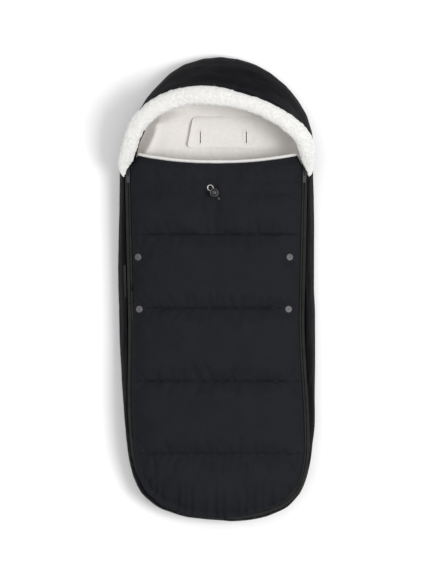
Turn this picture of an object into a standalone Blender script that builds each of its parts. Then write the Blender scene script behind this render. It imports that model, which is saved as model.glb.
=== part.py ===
"""Stroller footmuff, zipped up and lying on its back.

Metres, +Z up, +Y towards the head end. The origin is on the floor, under the middle of the part.
Left and right are as seen from above with the head end at the top.
A share is a fraction of the size that its table names.
"""

import math

import bmesh
import bpy
import numpy as np
from mathutils import Matrix, Vector

# Overall sizes
LENGTH = 1.000
WIDTH = 0.419
ZIP_HEIGHT = 0.076
RIM_HEIGHT = 0.142
HALF_LENGTH = LENGTH / 2
HALF_WIDTH = WIDTH / 2
BOTTOM_SEAM_INSET = 0.022
GAP = 0.0003
LAYER_GAP = 0.0005
SEAM_GAP = 0.0006
SEAT_GAP = 0.0006

# Counts of steps, stations and samples along the curved pieces
WALL_STEPS = 6
SIDE_STEPS = 9
HOOD_STEPS = 18
ZIP_SAMPLES = 40
HOOD_SAMPLES = 24
SEAT_SAMPLES = 12
HALF_ROUND_STEPS = 8
CUFF_STEPS = 32
CUFF_SIDES = 12

# Cloth layers of the back and walls
FABRIC = 0.0015
WADDING = 0.0080
LINING = 0.0050
LINING_DROP = 0.0085
WADDING_START = FABRIC + LAYER_GAP
LINING_START = WADDING_START + WADDING + LAYER_GAP
LAYERS = {
    "fabric": (0.0, FABRIC),
    "wadding": (WADDING_START, WADDING_START + WADDING),
    "lining": (LINING_START, LINING_START + LINING),
}

# Zip line from the slider's parked end to the foot: x share, y share, band share.
# The band is the distance from the zip line out to the outline.
# The first five points lie on one straight line, which is the slider's run.
RUN_TOP_SHARES = (0.912, 0.524)
RUN_END_SHARES = (0.881, -0.040)
RUN_BAND_SHARES = ((0.524, 0.078), (0.314, 0.100), (0.028, 0.116), (-0.040, 0.119), (-0.100, 0.119))
FOOT_ZIP_SHARES = (
    (0.8765, -0.160, 0.1185),
    (0.885, -0.300, 0.101),
    (0.899, -0.460, 0.074),
    (0.900, -0.606, 0.060),
    (0.883, -0.715, 0.047),
    (0.8305, -0.810, 0.044),
    (0.745, -0.875, 0.044),
    (0.601, -0.926, 0.045),
    (0.334, -0.965, 0.047),
    (0.000, -0.980, 0.0477),
)
GUSSET_END_SHARE = -0.606

# Hood from the head's middle down its right side: rim x, rim y, rim rise, outline x, outline y
HOOD_SHARES = (
    (0.000, 0.839, 1.000, 0.000, 1.000),
    (0.200, 0.833, 0.990, 0.229, 0.987),
    (0.387, 0.814, 0.950, 0.465, 0.944),
    (0.623, 0.768, 0.860, 0.718, 0.840),
    (0.802, 0.704, 0.730, 0.888, 0.732),
    (0.893, 0.637, 0.550, 0.950, 0.656),
    (0.933, 0.580, 0.270, 0.980, 0.590),
)

# How the soft body has settled: sideways drift of head and foot, and slump of the rim
HEAD_DRIFT = 0.011
FOOT_DRIFT = 0.019
RIM_SLUMP = 0.040
HEAD_DRIFT_SHARES = (0.524, 0.684)
FOOT_DRIFT_START_SHARE = -0.040
SLUMP_SHARES = (0.560, 0.839)

# Cover: the flap above the fold and the fixed part below it
COVER_INSET = 0.0068
COVER_RAISE = 0.0011
COVER_EDGE_WADDING = 0.0030
COVER_LINING = 0.0025
COVER_CROWN = 0.011
COVER_LINING_CROWN = 0.009
QUILT_PUFF = 0.006
PUFF_REACH = 0.042
CROWN_POWER = 3
PUFF_POWER = 4
FOOT_CROWN_POWER = 2.5
FOLD_SHARE = 0.028
FOLD_GAP = 0.001
HINGE_CLEARANCE = 0.001
SEAM_SHARES = (0.463, 0.239, -0.080, -0.395, -0.7094)
FLAP_CORNER_SHARES = (0.821, 0.577)
FLAP_MIDDLE_SHARE = 0.5434
FLAP_EDGE_POWER = 2.2
FOOT_CORNER_SHARE = -0.860
COLUMN_SHARES = (-1.0, -0.82, -0.55, -0.28, 0.0, 0.28, 0.55, 0.82, 1.0)
FLAP_ROW_SHARES = (0.092, 0.156, 0.200, 0.224, 0.239, 0.254, 0.300, 0.360, 0.400)
LOWER_ROW_SHARES = (
    -0.020, -0.056, -0.080, -0.104, -0.150, -0.236, -0.320,
    -0.371, -0.395, -0.419, -0.470, -0.550, -0.640, -0.686,
)
FLAP_EDGE_BLENDS = (0.35, 0.70, 1.0)
FOOT_EDGE_BLENDS = (0.14, 0.32, 0.55, 0.78, 1.0)

# Drawcord casing across the flap
CASING_SHARES = (0.415, 0.463)
CASING_DEPTH = 0.0048
CASING_SLOPE = 0.0015
CASING_SPAN_SHARE = 0.80
DRAWCORD_RADIUS = 0.0014

# Zips
ZIP_SEAM = 0.0065
ZIP_HALF_GAP = 0.0008
TAPE_THICKNESS = 0.0008
TAPE_LIFT = GAP
COIL_WIDTH = 0.0026
COIL_HEIGHT = 0.0020
STOP_LENGTH = 0.006
STOP_WIDTH = 0.0068
STOP_HEIGHT = 0.0036
RUN_STEPS = 3

# Sliders and their pull tabs
SLIDER_WIDTH = 0.0090
SLIDER_LENGTH = 0.0140
SLIDER_PLATE = 0.0012
SLIDER_CLEARANCE = GAP
SLIDER_POST = 0.0010
SLIDER_LIP = 0.0008
SLIDER_LIP_HEIGHT = 0.0017
SLIDER_PARK_BACK = 0.0100
BRIDGE_WIDTH = 0.0020
BRIDGE_LENGTH = 0.0096
BRIDGE_FOOT = 0.0012
BRIDGE_OPENING = 0.0022
BRIDGE_BAR = 0.0012
BRIDGE_SINK = 0.0003
PULL_WIDTH = 0.0070
PULL_LENGTH = 0.0220
PULL_THICKNESS = 0.0012
PULL_EYE_WIDTH = 0.0034
PULL_EYE_LENGTH = 0.0058
PULL_CROSSBAR = 0.0012
PULL_CORNER = 0.0020

# Fleece cuff on the hood's rim: along the rim from the middle, band width and tail
CUFF_WIDTH = 0.038
CUFF_THICKNESS = 0.022
CUFF_SEAT = GAP
CUFF_WIDTH_SHARES = ((0.000, 1.000), (0.780, 0.970), (0.900, 0.760), (0.950, 0.480), (1.000, 0.100))
CUFF_THICK_SHARES = ((0.000, 1.000), (0.800, 0.950), (0.900, 0.700), (0.950, 0.450), (1.000, 0.140))
CUFF_SHIFT = 0.0055
CUFF_SHIFT_SHARES = ((0.000, 0.0), (0.800, -0.10), (0.880, 0.30), (0.950, 1.0), (1.000, 0.80))
CUFF_TAIL = 0.020
CUFF_LIFT = COVER_RAISE + GAP
CUFF_LIFT_START_SHARE = 0.590

# Fleece piping on the flap's free edge
PIPING_DIAMETER = 0.0065

# Harness slots in the back: half width from the middle, y share
SLOT_WIDTH = 0.008
SLOT_LENGTH = 0.028
SLOT_CORNER = 0.0020
SHOULDER_SLOT_SPACING = 0.100
WAIST_SLOT_SPACING = 0.180
SHOULDER_SLOT_SHARE = 0.661
WAIST_SLOT_SHARE = 0.160
CROTCH_SLOT_SHARE = -0.100
SHOULDER_SLOT_OFFSET = 0.005
BINDING_WIDTH = 0.004
BINDING_THICKNESS = 0.0010

# Raised fleece panel round the shoulder slots
PANEL_WIDTH = 0.149
PANEL_LENGTH = 0.069
PANEL_THICKNESS = 0.0020
PANEL_SHARE = 0.684
PANEL_CORNER = 0.008

# Blank label on the left gusset
LABEL_Y_SHARES = (0.106, -0.034)
LABEL_WALL_SHARES = (0.76, 0.97)
LABEL_THICKNESS = 0.0009
LABEL_STEPS = 4

# Snap fasteners, set in from the cover's side edges and a little to the left as a pair
SNAP_INSET = 0.0162
SNAP_DRIFT = -0.0050
SNAP_UPPER_SHARE = 0.140
SNAP_LOWER_SHARE = -0.085
SNAP_RADIUS = 0.0075
SNAP_FLANGE = 0.0012
SNAP_DOME = 0.0008
SNAP_POST_RADIUS = 0.0017
SNAP_POST_CLEARANCE = 0.0005
SNAP_KNOB_RADIUS = 0.0024
SNAP_KNOB_HEIGHT = 0.0014
SNAP_KNOB_CLEARANCE = 0.0003
SNAP_SOCKET_DEPTH = 0.0009
SNAP_CAP_RADIUS = 0.0065
SNAP_CAP_THICKNESS = 0.0012
SNAP_SEGMENTS = 16

# Eyelet for the drawcord
EYELET_X = -0.0128
EYELET_SHARE = 0.439
EYELET_RADIUS = 0.0075
EYELET_HOLE = 0.0042
EYELET_TUBE = 0.0007
EYELET_FLANGE = 0.0010
EYELET_RING = 0.0006
EYELET_SEGMENTS = 20

# Cord lock: heights are from the underside of its barrel
LOCK_DIRECTION_DEG = -52.0
LOCK_DISTANCE = 0.0134
LOCK_RADIUS = 0.0090
LOCK_BORE = 0.0064
LOCK_HEIGHT = 0.0165
LOCK_FLOOR = 0.0012
LOCK_EDGE = 0.0012
CORD_HEIGHT = 0.0105
CORD_RADIUS = 0.0013
CORD_HOLE = 0.0021
CORD_TAIL = 0.0090
CORD_BEND_STEPS = 4
CORD_RUN_STEPS = 6
PLUNGER_RADIUS = 0.0060
PLUNGER_BOTTOM = 0.0068
PLUNGER_TOP = 0.0205
PLUNGER_DOME = 0.0030
DOME_STEPS = 4
PLUNGER_TRAVEL = 0.0025
PLUNGER_SLOT_CLEARANCE = 0.0004
LOCK_SLIDE = 0.006
SPRING_RADIUS = 0.0042
SPRING_WIRE = 0.00035
SPRING_TURNS = 4
SPRING_POINTS_A_TURN = 9
LOCK_SEGMENTS = 24

# Overrun of every cut, and how near a turned piece's points are merged
CUT_OVERRUN = 0.002
MERGE_DISTANCE = 0.00001

# Colours, roughness and metallic value
MATERIALS = {
    "cover_fabric": ((0.0185, 0.0190, 0.0222, 1.0), 0.75, 0.0),
    "shell_fabric": ((0.0120, 0.0123, 0.0150, 1.0), 0.80, 0.0),
    "wadding": ((0.80, 0.80, 0.78, 1.0), 0.95, 0.0),
    "fleece": ((0.82, 0.80, 0.77, 1.0), 0.95, 0.0),
    "cuff_fleece": ((0.87, 0.86, 0.84, 1.0), 0.95, 0.0),
    "zip_tape": ((0.0210, 0.0235, 0.0215, 1.0), 0.70, 0.0),
    "zip_coil": ((0.0100, 0.0105, 0.0105, 1.0), 0.45, 0.0),
    "zip_metal": ((0.0150, 0.0150, 0.0160, 1.0), 0.35, 0.8),
    "black_plastic": ((0.0110, 0.0110, 0.0125, 1.0), 0.35, 0.0),
    "label": ((0.030, 0.030, 0.034, 1.0), 0.60, 0.0),
    "nickel": ((0.62, 0.61, 0.58, 1.0), 0.25, 1.0),
    "cord": ((0.016, 0.016, 0.018, 1.0), 0.70, 0.0),
    "spring_steel": ((0.55, 0.55, 0.56, 1.0), 0.30, 1.0),
}
SMOOTH_ANGLE = math.radians(35)


def clear_scene():
    for item in list(bpy.data.objects):
        bpy.data.objects.remove(item, do_unlink=True)


def collection(name):
    group = bpy.data.collections.new(name)
    bpy.context.scene.collection.children.link(group)
    return group


def make_material(name):
    colour, roughness, metallic = MATERIALS[name]
    material = bpy.data.materials.new(name)
    material.use_nodes = True
    shader = material.node_tree.nodes["Principled BSDF"]
    shader.inputs["Base Color"].default_value = colour
    shader.inputs["Roughness"].default_value = roughness
    shader.inputs["Metallic"].default_value = metallic
    return material


def material(name):
    return bpy.data.materials.get(name) or make_material(name)


def add(name, data, look, group="footmuff"):
    item = bpy.data.objects.new(name, data)
    bpy.data.collections[group].objects.link(item)
    data.materials.append(material(look))
    return item


def finish_mesh(bm, name, look, group="footmuff"):
    bmesh.ops.recalc_face_normals(bm, faces=bm.faces)
    if bm.calc_volume(signed=True) < 0:
        bmesh.ops.reverse_faces(bm, faces=bm.faces)
    mesh = bpy.data.meshes.new(name)
    bm.to_mesh(mesh)
    bm.free()
    mesh.shade_smooth()
    mesh.set_sharp_from_angle(angle=SMOOTH_ANGLE)
    return add(name, mesh, look, group)


def mapped_panel(name, columns, rows, place, look):
    """A grid with a thickness, whose corner (column, row, layer) goes where place says."""
    bm = bmesh.new()
    bmesh.ops.create_grid(bm, x_segments=columns, y_segments=rows, size=0.5)
    bmesh.ops.triangulate(bm, faces=bm.faces, quad_method="FIXED")
    first = list(bm.verts)
    spots = {v: (round((v.co.x + 0.5) * columns), round((v.co.y + 0.5) * rows)) for v in first}
    made = bmesh.ops.extrude_face_region(bm, geom=list(bm.faces), use_keep_orig=True)
    second = [v for v in made["geom"] if isinstance(v, bmesh.types.BMVert)]
    for v in second:
        spots[v] = (round((v.co.x + 0.5) * columns), round((v.co.y + 0.5) * rows))
    places = {v: place(*spots[v], 0) for v in first}
    places.update({v: place(*spots[v], 1) for v in second})
    for v, spot in places.items():
        v.co = spot
    return finish_mesh(bm, name, look)


def mapped_tube(name, steps, sides, place, look):
    """A tube of rings with flat ends, whose corner (ring, side) goes where place says."""
    bm = bmesh.new()
    ring = bmesh.ops.create_circle(bm, cap_ends=True, radius=1, segments=sides)["verts"]
    for side, v in enumerate(ring):
        v.co = place(0, side)
    face = bm.faces[:]
    order = {v: side for side, v in enumerate(ring)}
    for step in range(1, steps + 1):
        made = bmesh.ops.extrude_face_region(bm, geom=face, use_keep_orig=True)
        if step > 1:
            bmesh.ops.delete(bm, geom=face, context="FACES_ONLY")
        fresh = [v for v in made["geom"] if isinstance(v, bmesh.types.BMVert)]
        nearest = {v: min(order, key=lambda o: (o.co - v.co).length) for v in fresh}
        order = {v: order[nearest[v]] for v in fresh}
        for v, side in order.items():
            v.co = place(step, side)
        face = [f for f in made["geom"] if isinstance(f, bmesh.types.BMFace)]
    return finish_mesh(bm, name, look)


def plate(name, outlines, thickness, height, look, group="footmuff"):
    """A flat plate on XY from closed outlines, the first of them its edge and the rest its holes."""
    curve = bpy.data.curves.new(name, "CURVE")
    curve.dimensions = "2D"
    curve.fill_mode = "BOTH"
    curve.extrude = thickness / 2
    for points in outlines:
        spline = curve.splines.new("POLY")
        spline.points.add(len(points) - 1)
        for point, (x, y) in zip(spline.points, points):
            point.co = (x, y, 0, 1)
        spline.use_cyclic_u = True
    item = add(name, curve, look, group)
    item.location.z = height + thickness / 2
    return item


def pipe(name, points, radius, resolution, look, group="footmuff"):
    curve = bpy.data.curves.new(name, "CURVE")
    curve.dimensions = "3D"
    curve.bevel_depth = radius
    curve.bevel_resolution = resolution
    curve.use_fill_caps = True
    spline = curve.splines.new("POLY")
    spline.points.add(len(points) - 1)
    for point, spot in zip(spline.points, points):
        point.co = (*spot, 1)
    return add(name, curve, look, group)


def turned(name, profile, segments, look, closed=False, group="footmuff"):
    """A turned piece from (radius, height) points that run down its outer side."""
    mesh = bpy.data.meshes.new(name)
    count = len(profile)
    edges = [(i, i + 1) for i in range(count - 1)]
    if closed:
        edges.append((count - 1, 0))
    mesh.from_pydata([(r, 0, z) for r, z in profile], edges, [])
    item = add(name, mesh, look, group)
    screw = item.modifiers.new("turn", "SCREW")
    screw.steps = segments
    screw.render_steps = segments
    screw.use_merge_vertices = True
    screw.merge_threshold = MERGE_DISTANCE
    screw.use_smooth_shade = True
    return item


def cube(name, size, centre, look, group="footmuff"):
    bm = bmesh.new()
    bmesh.ops.create_cube(bm, size=1, matrix=Matrix.Diagonal((*size, 1)))
    item = finish_mesh(bm, name, look, group)
    item.location = centre
    return item


def boolean(item, tool, operation="DIFFERENCE"):
    change = item.modifiers.new(tool.name, "BOOLEAN")
    change.operation = operation
    change.solver = "EXACT"
    change.object = tool
    tool.hide_render = True
    tool.display_type = "WIRE"


def rounded_box(width, length, corner, centre=(0, 0), steps=2):
    """The corners of a rounded rectangle, anticlockwise."""
    points = []
    for turn, (sx, sy) in enumerate(((1, 1), (-1, 1), (-1, -1), (1, -1))):
        cx = centre[0] + sx * (width / 2 - corner)
        cy = centre[1] + sy * (length / 2 - corner)
        for step in range(steps + 1):
            angle = math.radians(90) * (turn + step / steps)
            points.append((cx + corner * math.cos(angle), cy + corner * math.sin(angle)))
    return points


def hold(item, parent):
    item.parent = parent
    item.matrix_parent_inverse = parent_matrix(parent).inverted()


def parent_matrix(item):
    own = Matrix.LocRotScale(item.location, item.rotation_euler, item.scale)
    if item.parent is None:
        return own
    return parent_matrix(item.parent) @ item.matrix_parent_inverse @ own


def empty(name, spot):
    item = bpy.data.objects.new(name, None)
    bpy.data.collections["footmuff"].objects.link(item)
    item.location = spot
    return item


def smooth_step(value, start, end):
    share = min(max((value - start) / (end - start), 0.0), 1.0)
    return share * share * (3 - 2 * share)


def drift(y):
    """Sideways shift of everything at this y, whatever its height."""
    share = y / HALF_LENGTH
    head = HEAD_DRIFT * smooth_step(share, *HEAD_DRIFT_SHARES)
    foot_share = max(FOOT_DRIFT_START_SHARE - share, 0.0) / (1 + FOOT_DRIFT_START_SHARE)
    return head + FOOT_DRIFT * foot_share**2


def settle(x, y, z):
    """Where a point of the soft body lies once it has settled on the floor."""
    start, end = SLUMP_SHARES
    share = max(y / HALF_LENGTH - start, 0.0) / (end - start)
    slump = RIM_SLUMP * min(share, 1.0) ** 2 * (z / RIM_HEIGHT) ** 2
    return Vector((x + drift(y) - slump, y, z))


def smooth_path(points, samples):
    """A smooth curve through points, with the given number of samples to a span."""
    p = np.array(points, float)
    steps = np.linalg.norm(np.diff(p[:, :2], axis=0), axis=1)
    slopes = np.diff(p, axis=0) / steps[:, None]
    tangents = np.empty_like(p)
    before = steps[:-1, None]
    after = steps[1:, None]
    tangents[1:-1] = (slopes[:-1] * after + slopes[1:] * before) / (before + after)
    tangents[0] = slopes[0]
    tangents[-1] = slopes[-1]
    t = np.linspace(0, 1, samples, endpoint=False)[:, None]
    rows = []
    for i, step in enumerate(steps):
        a, b, ta, tb = p[i], p[i + 1], tangents[i] * step, tangents[i + 1] * step
        rows.append(
            (2 * t**3 - 3 * t**2 + 1) * a
            + (t**3 - 2 * t**2 + t) * ta
            + (3 * t**2 - 2 * t**3) * b
            + (t**3 - t**2) * tb
        )
    rows.append(p[-1:])
    return np.vstack(rows)


def mirrored(points, sign):
    """The points in reverse with their x columns negated, to carry a curve over the middle."""
    return [tuple(s * value for s, value in zip(sign, point)) for point in reversed(points)]


class ZipLine:
    """The right half of the zip line, from its head end to the middle of the foot."""

    def __init__(self):
        (x0, y0), (x1, y1) = RUN_TOP_SHARES, RUN_END_SHARES
        run = [(x0 + (x1 - x0) * (y - y0) / (y1 - y0), y, band) for y, band in RUN_BAND_SHARES]
        half = [*run, *FOOT_ZIP_SHARES]
        points = half + mirrored(half[:-1], (-1, 1, 1))[:2]
        scale = np.array((HALF_WIDTH, HALF_LENGTH, HALF_WIDTH))
        path = smooth_path(np.array(points) * scale, ZIP_SAMPLES)
        path = path[: (len(half) - 1) * ZIP_SAMPLES + 1]
        tangent = np.gradient(path[:, :2], axis=0)
        tangent /= np.linalg.norm(tangent, axis=1)[:, None]
        tangent[-1] = (-1, 0)
        self.spots = path[:, :2]
        self.bands = path[:, 2]
        self.outward = np.stack((-tangent[:, 1], tangent[:, 0]), axis=1)
        lengths = np.linalg.norm(np.diff(self.spots, axis=0), axis=1)
        self.arc = np.concatenate(([0], np.cumsum(lengths)))
        self.length = self.arc[-1]
        self.cover = self.spots - COVER_INSET * self.outward

    def at(self, s, offset=0.0):
        """The point at arc s, moved outwards by offset."""
        x = np.interp(s, self.arc, self.spots[:, 0] + offset * self.outward[:, 0])
        y = np.interp(s, self.arc, self.spots[:, 1] + offset * self.outward[:, 1])
        return float(x), float(y)

    def normal(self, s):
        n = np.array([np.interp(s, self.arc, self.outward[:, k]) for k in (0, 1)])
        return n / np.linalg.norm(n)

    def band(self, s):
        return float(np.interp(s, self.arc, self.bands))

    def arc_at_y(self, y):
        """The arc where the cover's edge is level with y, on the side of the part."""
        return float(np.interp(-y, -self.cover[:, 1], self.arc))

    def arc_at_x(self, x):
        """The arc where the cover's edge is at x, round the foot."""
        start = np.searchsorted(-self.cover[:, 1], -FOOT_CORNER_SHARE * HALF_LENGTH) - 1
        return float(np.interp(-x, -self.cover[start:, 0], self.arc[start:]))

    def cover_half(self, y):
        return float(np.interp(-y, -self.cover[:, 1], self.cover[:, 0]))


def cover_rows():
    """Rows of the flap and of the lower cover: (y at the sides, blend to the free edge)."""
    fold = FOLD_SHARE * HALF_LENGTH
    seam_top = SEAM_SHARES[0] * HALF_LENGTH
    seam_foot = SEAM_SHARES[-1] * HALF_LENGTH
    casing = [share * HALF_LENGTH for share in CASING_SHARES]
    flap = [(fold + FOLD_GAP / 2, 0.0)]
    flap += [(share * HALF_LENGTH, 0.0) for share in FLAP_ROW_SHARES]
    flap += [(casing[0], 0.0), (casing[0] + CASING_SLOPE, 0.0)]
    flap += [(casing[1] - CASING_SLOPE, 0.0), (seam_top, 0.0)]
    corner = FLAP_CORNER_SHARES[1] * HALF_LENGTH
    flap += [(seam_top + blend * (corner - seam_top), blend) for blend in FLAP_EDGE_BLENDS]
    lower = [(fold - FOLD_GAP / 2, 0.0)]
    lower += [(share * HALF_LENGTH, 0.0) for share in LOWER_ROW_SHARES]
    lower += [(seam_foot, 0.0)]
    corner = FOOT_CORNER_SHARE * HALF_LENGTH
    lower += [(seam_foot + blend * (corner - seam_foot), blend) for blend in FOOT_EDGE_BLENDS]
    return flap, lower


class Cover:
    """Plan and heights of the quilted cover over its grid of rows and columns."""

    def __init__(self, zip_line):
        self.zip = zip_line
        self.flap, self.lower = cover_rows()
        self.corner_half = FLAP_CORNER_SHARES[0] * HALF_WIDTH
        self.corner_y = FLAP_CORNER_SHARES[1] * HALF_LENGTH
        self.foot_corner_y = FOOT_CORNER_SHARE * HALF_LENGTH
        self.foot_corner_half = zip_line.cover_half(self.foot_corner_y)

    def half(self, y):
        """Half the cover's width at its side edge."""
        top = float(self.zip.cover[0, 1])
        if y <= top:
            return self.zip.cover_half(y)
        share = (y - top) / (self.corner_y - top)
        top_half = self.zip.cover_half(top)
        return top_half - (top_half - self.corner_half) * share**2

    def flap_edge(self, share):
        middle = FLAP_MIDDLE_SHARE * HALF_LENGTH
        return middle + (self.corner_y - middle) * abs(share) ** FLAP_EDGE_POWER

    def foot_edge(self, share):
        s = self.zip.arc_at_x(abs(share) * self.foot_corner_half)
        return float(np.interp(s, self.zip.arc, self.zip.cover[:, 1]))

    def spot(self, row, share):
        """Plan position of a grid corner."""
        side_y, blend = row
        x = share * self.half(side_y)
        if blend == 0:
            return x, side_y
        if side_y > 0:
            start, edge = SEAM_SHARES[0] * HALF_LENGTH, self.flap_edge(share)
        else:
            start, edge = SEAM_SHARES[-1] * HALF_LENGTH, self.foot_edge(share)
        return x, start + blend * (edge - start)

    def fullness(self, row):
        """One over the cover, falling to nothing at its foot edge."""
        side_y, blend = row
        return 1 - blend**FOOT_CROWN_POWER if side_y < 0 else 1.0

    def crown(self, row, share):
        return (1 - abs(share) ** CROWN_POWER) * self.fullness(row)

    def puff(self, row, share):
        """Rise of the quilting between its seams, the drawcord's seam left out."""
        reach = min(abs(row[0] - seam * HALF_LENGTH) for seam in SEAM_SHARES[1:])
        rise = math.sqrt(1 - (1 - min(reach / PUFF_REACH, 1.0)) ** 2)
        return rise * (1 - abs(share) ** PUFF_POWER) * self.fullness(row)

    def casing(self, row, share):
        """How far the wadding is hollowed for the drawcord."""
        low, high = (value * HALF_LENGTH for value in CASING_SHARES)
        inside = low < row[0] < high and abs(share) < 1
        return CASING_DEPTH if inside else 0.0

    def heights(self, layer, row, share):
        """Top and underside of a layer at a grid corner."""
        crown = self.crown(row, share)
        fabric_top = ZIP_HEIGHT + COVER_RAISE + COVER_CROWN * crown + QUILT_PUFF * self.puff(row, share)
        fabric_low = fabric_top - FABRIC
        lining_top = ZIP_HEIGHT + COVER_RAISE - FABRIC - 2 * GAP - COVER_EDGE_WADDING
        lining_top += COVER_LINING_CROWN * crown
        if layer == "fabric":
            return fabric_top, fabric_low
        if layer == "wadding":
            return fabric_low - GAP - self.casing(row, share), lining_top + GAP
        return lining_top, lining_top - COVER_LINING

    def surface(self, layer, side, x, y):
        """Height of a layer's top (0) or underside (1) above a plan point off the free edges."""
        rows = self.flap if y > FOLD_SHARE * HALF_LENGTH else self.lower
        level = sorted((row for row in rows if row[1] == 0), key=lambda row: row[0])
        share = x / self.half(y)
        across = [
            np.interp(share, COLUMN_SHARES, [self.heights(layer, row, c)[side] for c in COLUMN_SHARES])
            for row in level
        ]
        return float(np.interp(y, [row[0] for row in level], across))

    def place(self, layer, rows):
        def corner(column, row, side):
            share = COLUMN_SHARES[column]
            x, y = self.spot(rows[row], share)
            return settle(x, y, self.heights(layer, rows[row], share)[side])

        return corner


class Wall:
    """A run of the tub's wall: stations of (outline x, y, outward x, y, inset, height)."""

    def __init__(self, stations):
        self.stations = stations

    def point(self, station, share, depth):
        """A point of the wall: share runs from the bottom seam to the top, depth is inwards."""
        x, y, nx, ny, inset, height = self.stations[station]
        b = BOTTOM_SEAM_INSET
        q = math.sqrt(b * inset)
        out = -b * (1 - share) ** 2 + 2 * share * (1 - share) * q - inset * share**2
        z = height * share**2
        slope_out = 2 * b * (1 - share) + 2 * q * (1 - 2 * share) - 2 * inset * share
        slope_z = 2 * height * share
        size = math.hypot(slope_out, slope_z)
        out -= depth * slope_z / size
        z += depth * slope_out / size
        return settle(x + nx * out, y + ny * out, z)

    def share(self, station, step):
        """Steps up to where the inner layers end, and one more to the fabric's edge."""
        if step < WALL_STEPS:
            return step / WALL_STEPS
        height = self.stations[station][5]
        return 1.0 if step > WALL_STEPS else math.sqrt(1 - LINING_DROP / height)

    def panel(self, name, layer, look):
        depths = LAYERS[layer]
        steps = WALL_STEPS + 1 if layer == "fabric" else WALL_STEPS

        def corner(station, step, side):
            return self.point(station, self.share(station, step), depths[side])

        return mapped_panel(name, len(self.stations) - 1, steps, corner, look)


def body_station(zip_line, s, sign):
    band = zip_line.band(s)
    x, y = zip_line.at(s, band)
    nx, ny = zip_line.normal(s)
    return sign * x, y, sign * nx, ny, band - ZIP_SEAM, ZIP_HEIGHT


def body_arcs(zip_line, cover):
    """Arcs of the wall's stations on the side and round the foot."""
    end = zip_line.arc_at_y(GUSSET_END_SHARE * HALF_LENGTH)
    side = [end * step / SIDE_STEPS for step in range(SIDE_STEPS + 1)]
    foot = [end, zip_line.arc_at_y(LOWER_ROW_SHARES[-1] * HALF_LENGTH)]
    foot += foot_arcs(zip_line, cover)
    return side, foot


def foot_arcs(zip_line, cover):
    """Arcs shared by the cover's edge, the zip and the wall round the foot."""
    rows = [row[0] for row in cover.lower if row[0] <= SEAM_SHARES[-1] * HALF_LENGTH]
    arcs = [zip_line.arc_at_y(y) for y in rows]
    shares = sorted((share for share in COLUMN_SHARES if 0 <= share < 1), reverse=True)
    arcs += [zip_line.arc_at_x(share * cover.foot_corner_half) for share in shares]
    arcs[-1] = zip_line.length
    return arcs


def wall_runs(zip_line, cover):
    """The four outer runs of wall and the two inner ones."""
    side, foot = body_arcs(zip_line, cover)
    step = SEAM_GAP / 2
    right = [body_station(zip_line, s, 1) for s in [side[0] + step, *side[1:-1], side[-1] - step]]
    left = [body_station(zip_line, s, -1) for s in [side[0] + step, *side[1:-1], side[-1] - step]]
    toe = [body_station(zip_line, s, 1) for s in [foot[0] + step, *foot[1:]]]
    toe += [body_station(zip_line, s, -1) for s in reversed([foot[0] + step, *foot[1:-1]])]
    tub_arcs = [side[0] + step, *side[1:], *foot[1:]]
    tub = [body_station(zip_line, s, 1) for s in tub_arcs]
    tub += [body_station(zip_line, s, -1) for s in reversed(tub_arcs[:-1])]
    return {"right": Wall(right), "left": Wall(left), "foot": Wall(toe), "tub": Wall(tub)}


def hood_path(zip_line):
    """The hood's rim and outline from the left junction over the head to the right one."""
    rise = RIM_HEIGHT - ZIP_HEIGHT
    scale = (HALF_WIDTH, HALF_LENGTH, rise, HALF_WIDTH, HALF_LENGTH)
    half = [tuple(s * v for s, v in zip(scale, row)) for row in HOOD_SHARES]
    half.append((*zip_line.at(0, ZIP_SEAM), 0.0, *zip_line.at(0, zip_line.band(0))))
    full = mirrored(half[1:], (-1, 1, 1, -1, 1)) + half
    return smooth_path(full, HOOD_SAMPLES)


def hood_stations(zip_line, count):
    path = hood_path(zip_line)
    lengths = np.linalg.norm(np.diff(path[:, 3:5], axis=0), axis=1)
    arc = np.concatenate(([0], np.cumsum(lengths)))
    spots = np.linspace(SEAM_GAP / 2, arc[-1] - SEAM_GAP / 2, count + 1)
    stations = []
    for s in spots:
        rx, ry, rise, ox, oy = (float(np.interp(s, arc, path[:, k])) for k in range(5))
        inset = math.hypot(ox - rx, oy - ry)
        stations.append((ox, oy, (ox - rx) / inset, (oy - ry) / inset, inset, ZIP_HEIGHT + rise))
    return stations


def bottom_outline(hood, tub, height):
    """The back's edge at a height, inside the bottom seam all the way round."""
    points = []
    for x, y, nx, ny, _, _ in [*hood, *tub.stations]:
        inset = BOTTOM_SEAM_INSET + SEAM_GAP
        spot = settle(x - nx * inset, y - ny * inset, height)
        points.append((spot.x, spot.y))
    return points


def slot_places():
    """Name and plan centre of each harness slot."""
    shoulder_y = SHOULDER_SLOT_SHARE * HALF_LENGTH
    waist_y = WAIST_SLOT_SHARE * HALF_LENGTH
    middle = drift(shoulder_y) + SHOULDER_SLOT_OFFSET
    return {
        "slot_binding_shoulder_left": (middle - SHOULDER_SLOT_SPACING / 2, shoulder_y),
        "slot_binding_shoulder_right": (middle + SHOULDER_SLOT_SPACING / 2, shoulder_y),
        "slot_binding_waist_left": (-WAIST_SLOT_SPACING / 2, waist_y),
        "slot_binding_waist_right": (WAIST_SLOT_SPACING / 2, waist_y),
        "slot_binding_crotch": (0.0, CROTCH_SLOT_SHARE * HALF_LENGTH),
    }


def slot_outline(centre):
    return rounded_box(SLOT_WIDTH, SLOT_LENGTH, SLOT_CORNER, centre)


def make_back(hood, tub):
    slots = [slot_outline(centre) for centre in slot_places().values()]
    looks = {"fabric": "shell_fabric", "wadding": "wadding", "lining": "fleece"}
    names = {"fabric": "back_panel", "wadding": "back_wadding", "lining": "back_lining"}
    for layer, (start, end) in LAYERS.items():
        edge = bottom_outline(hood, tub, (start + end) / 2)
        plate(names[layer], [edge, *slots], end - start, start, looks[layer])


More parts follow.
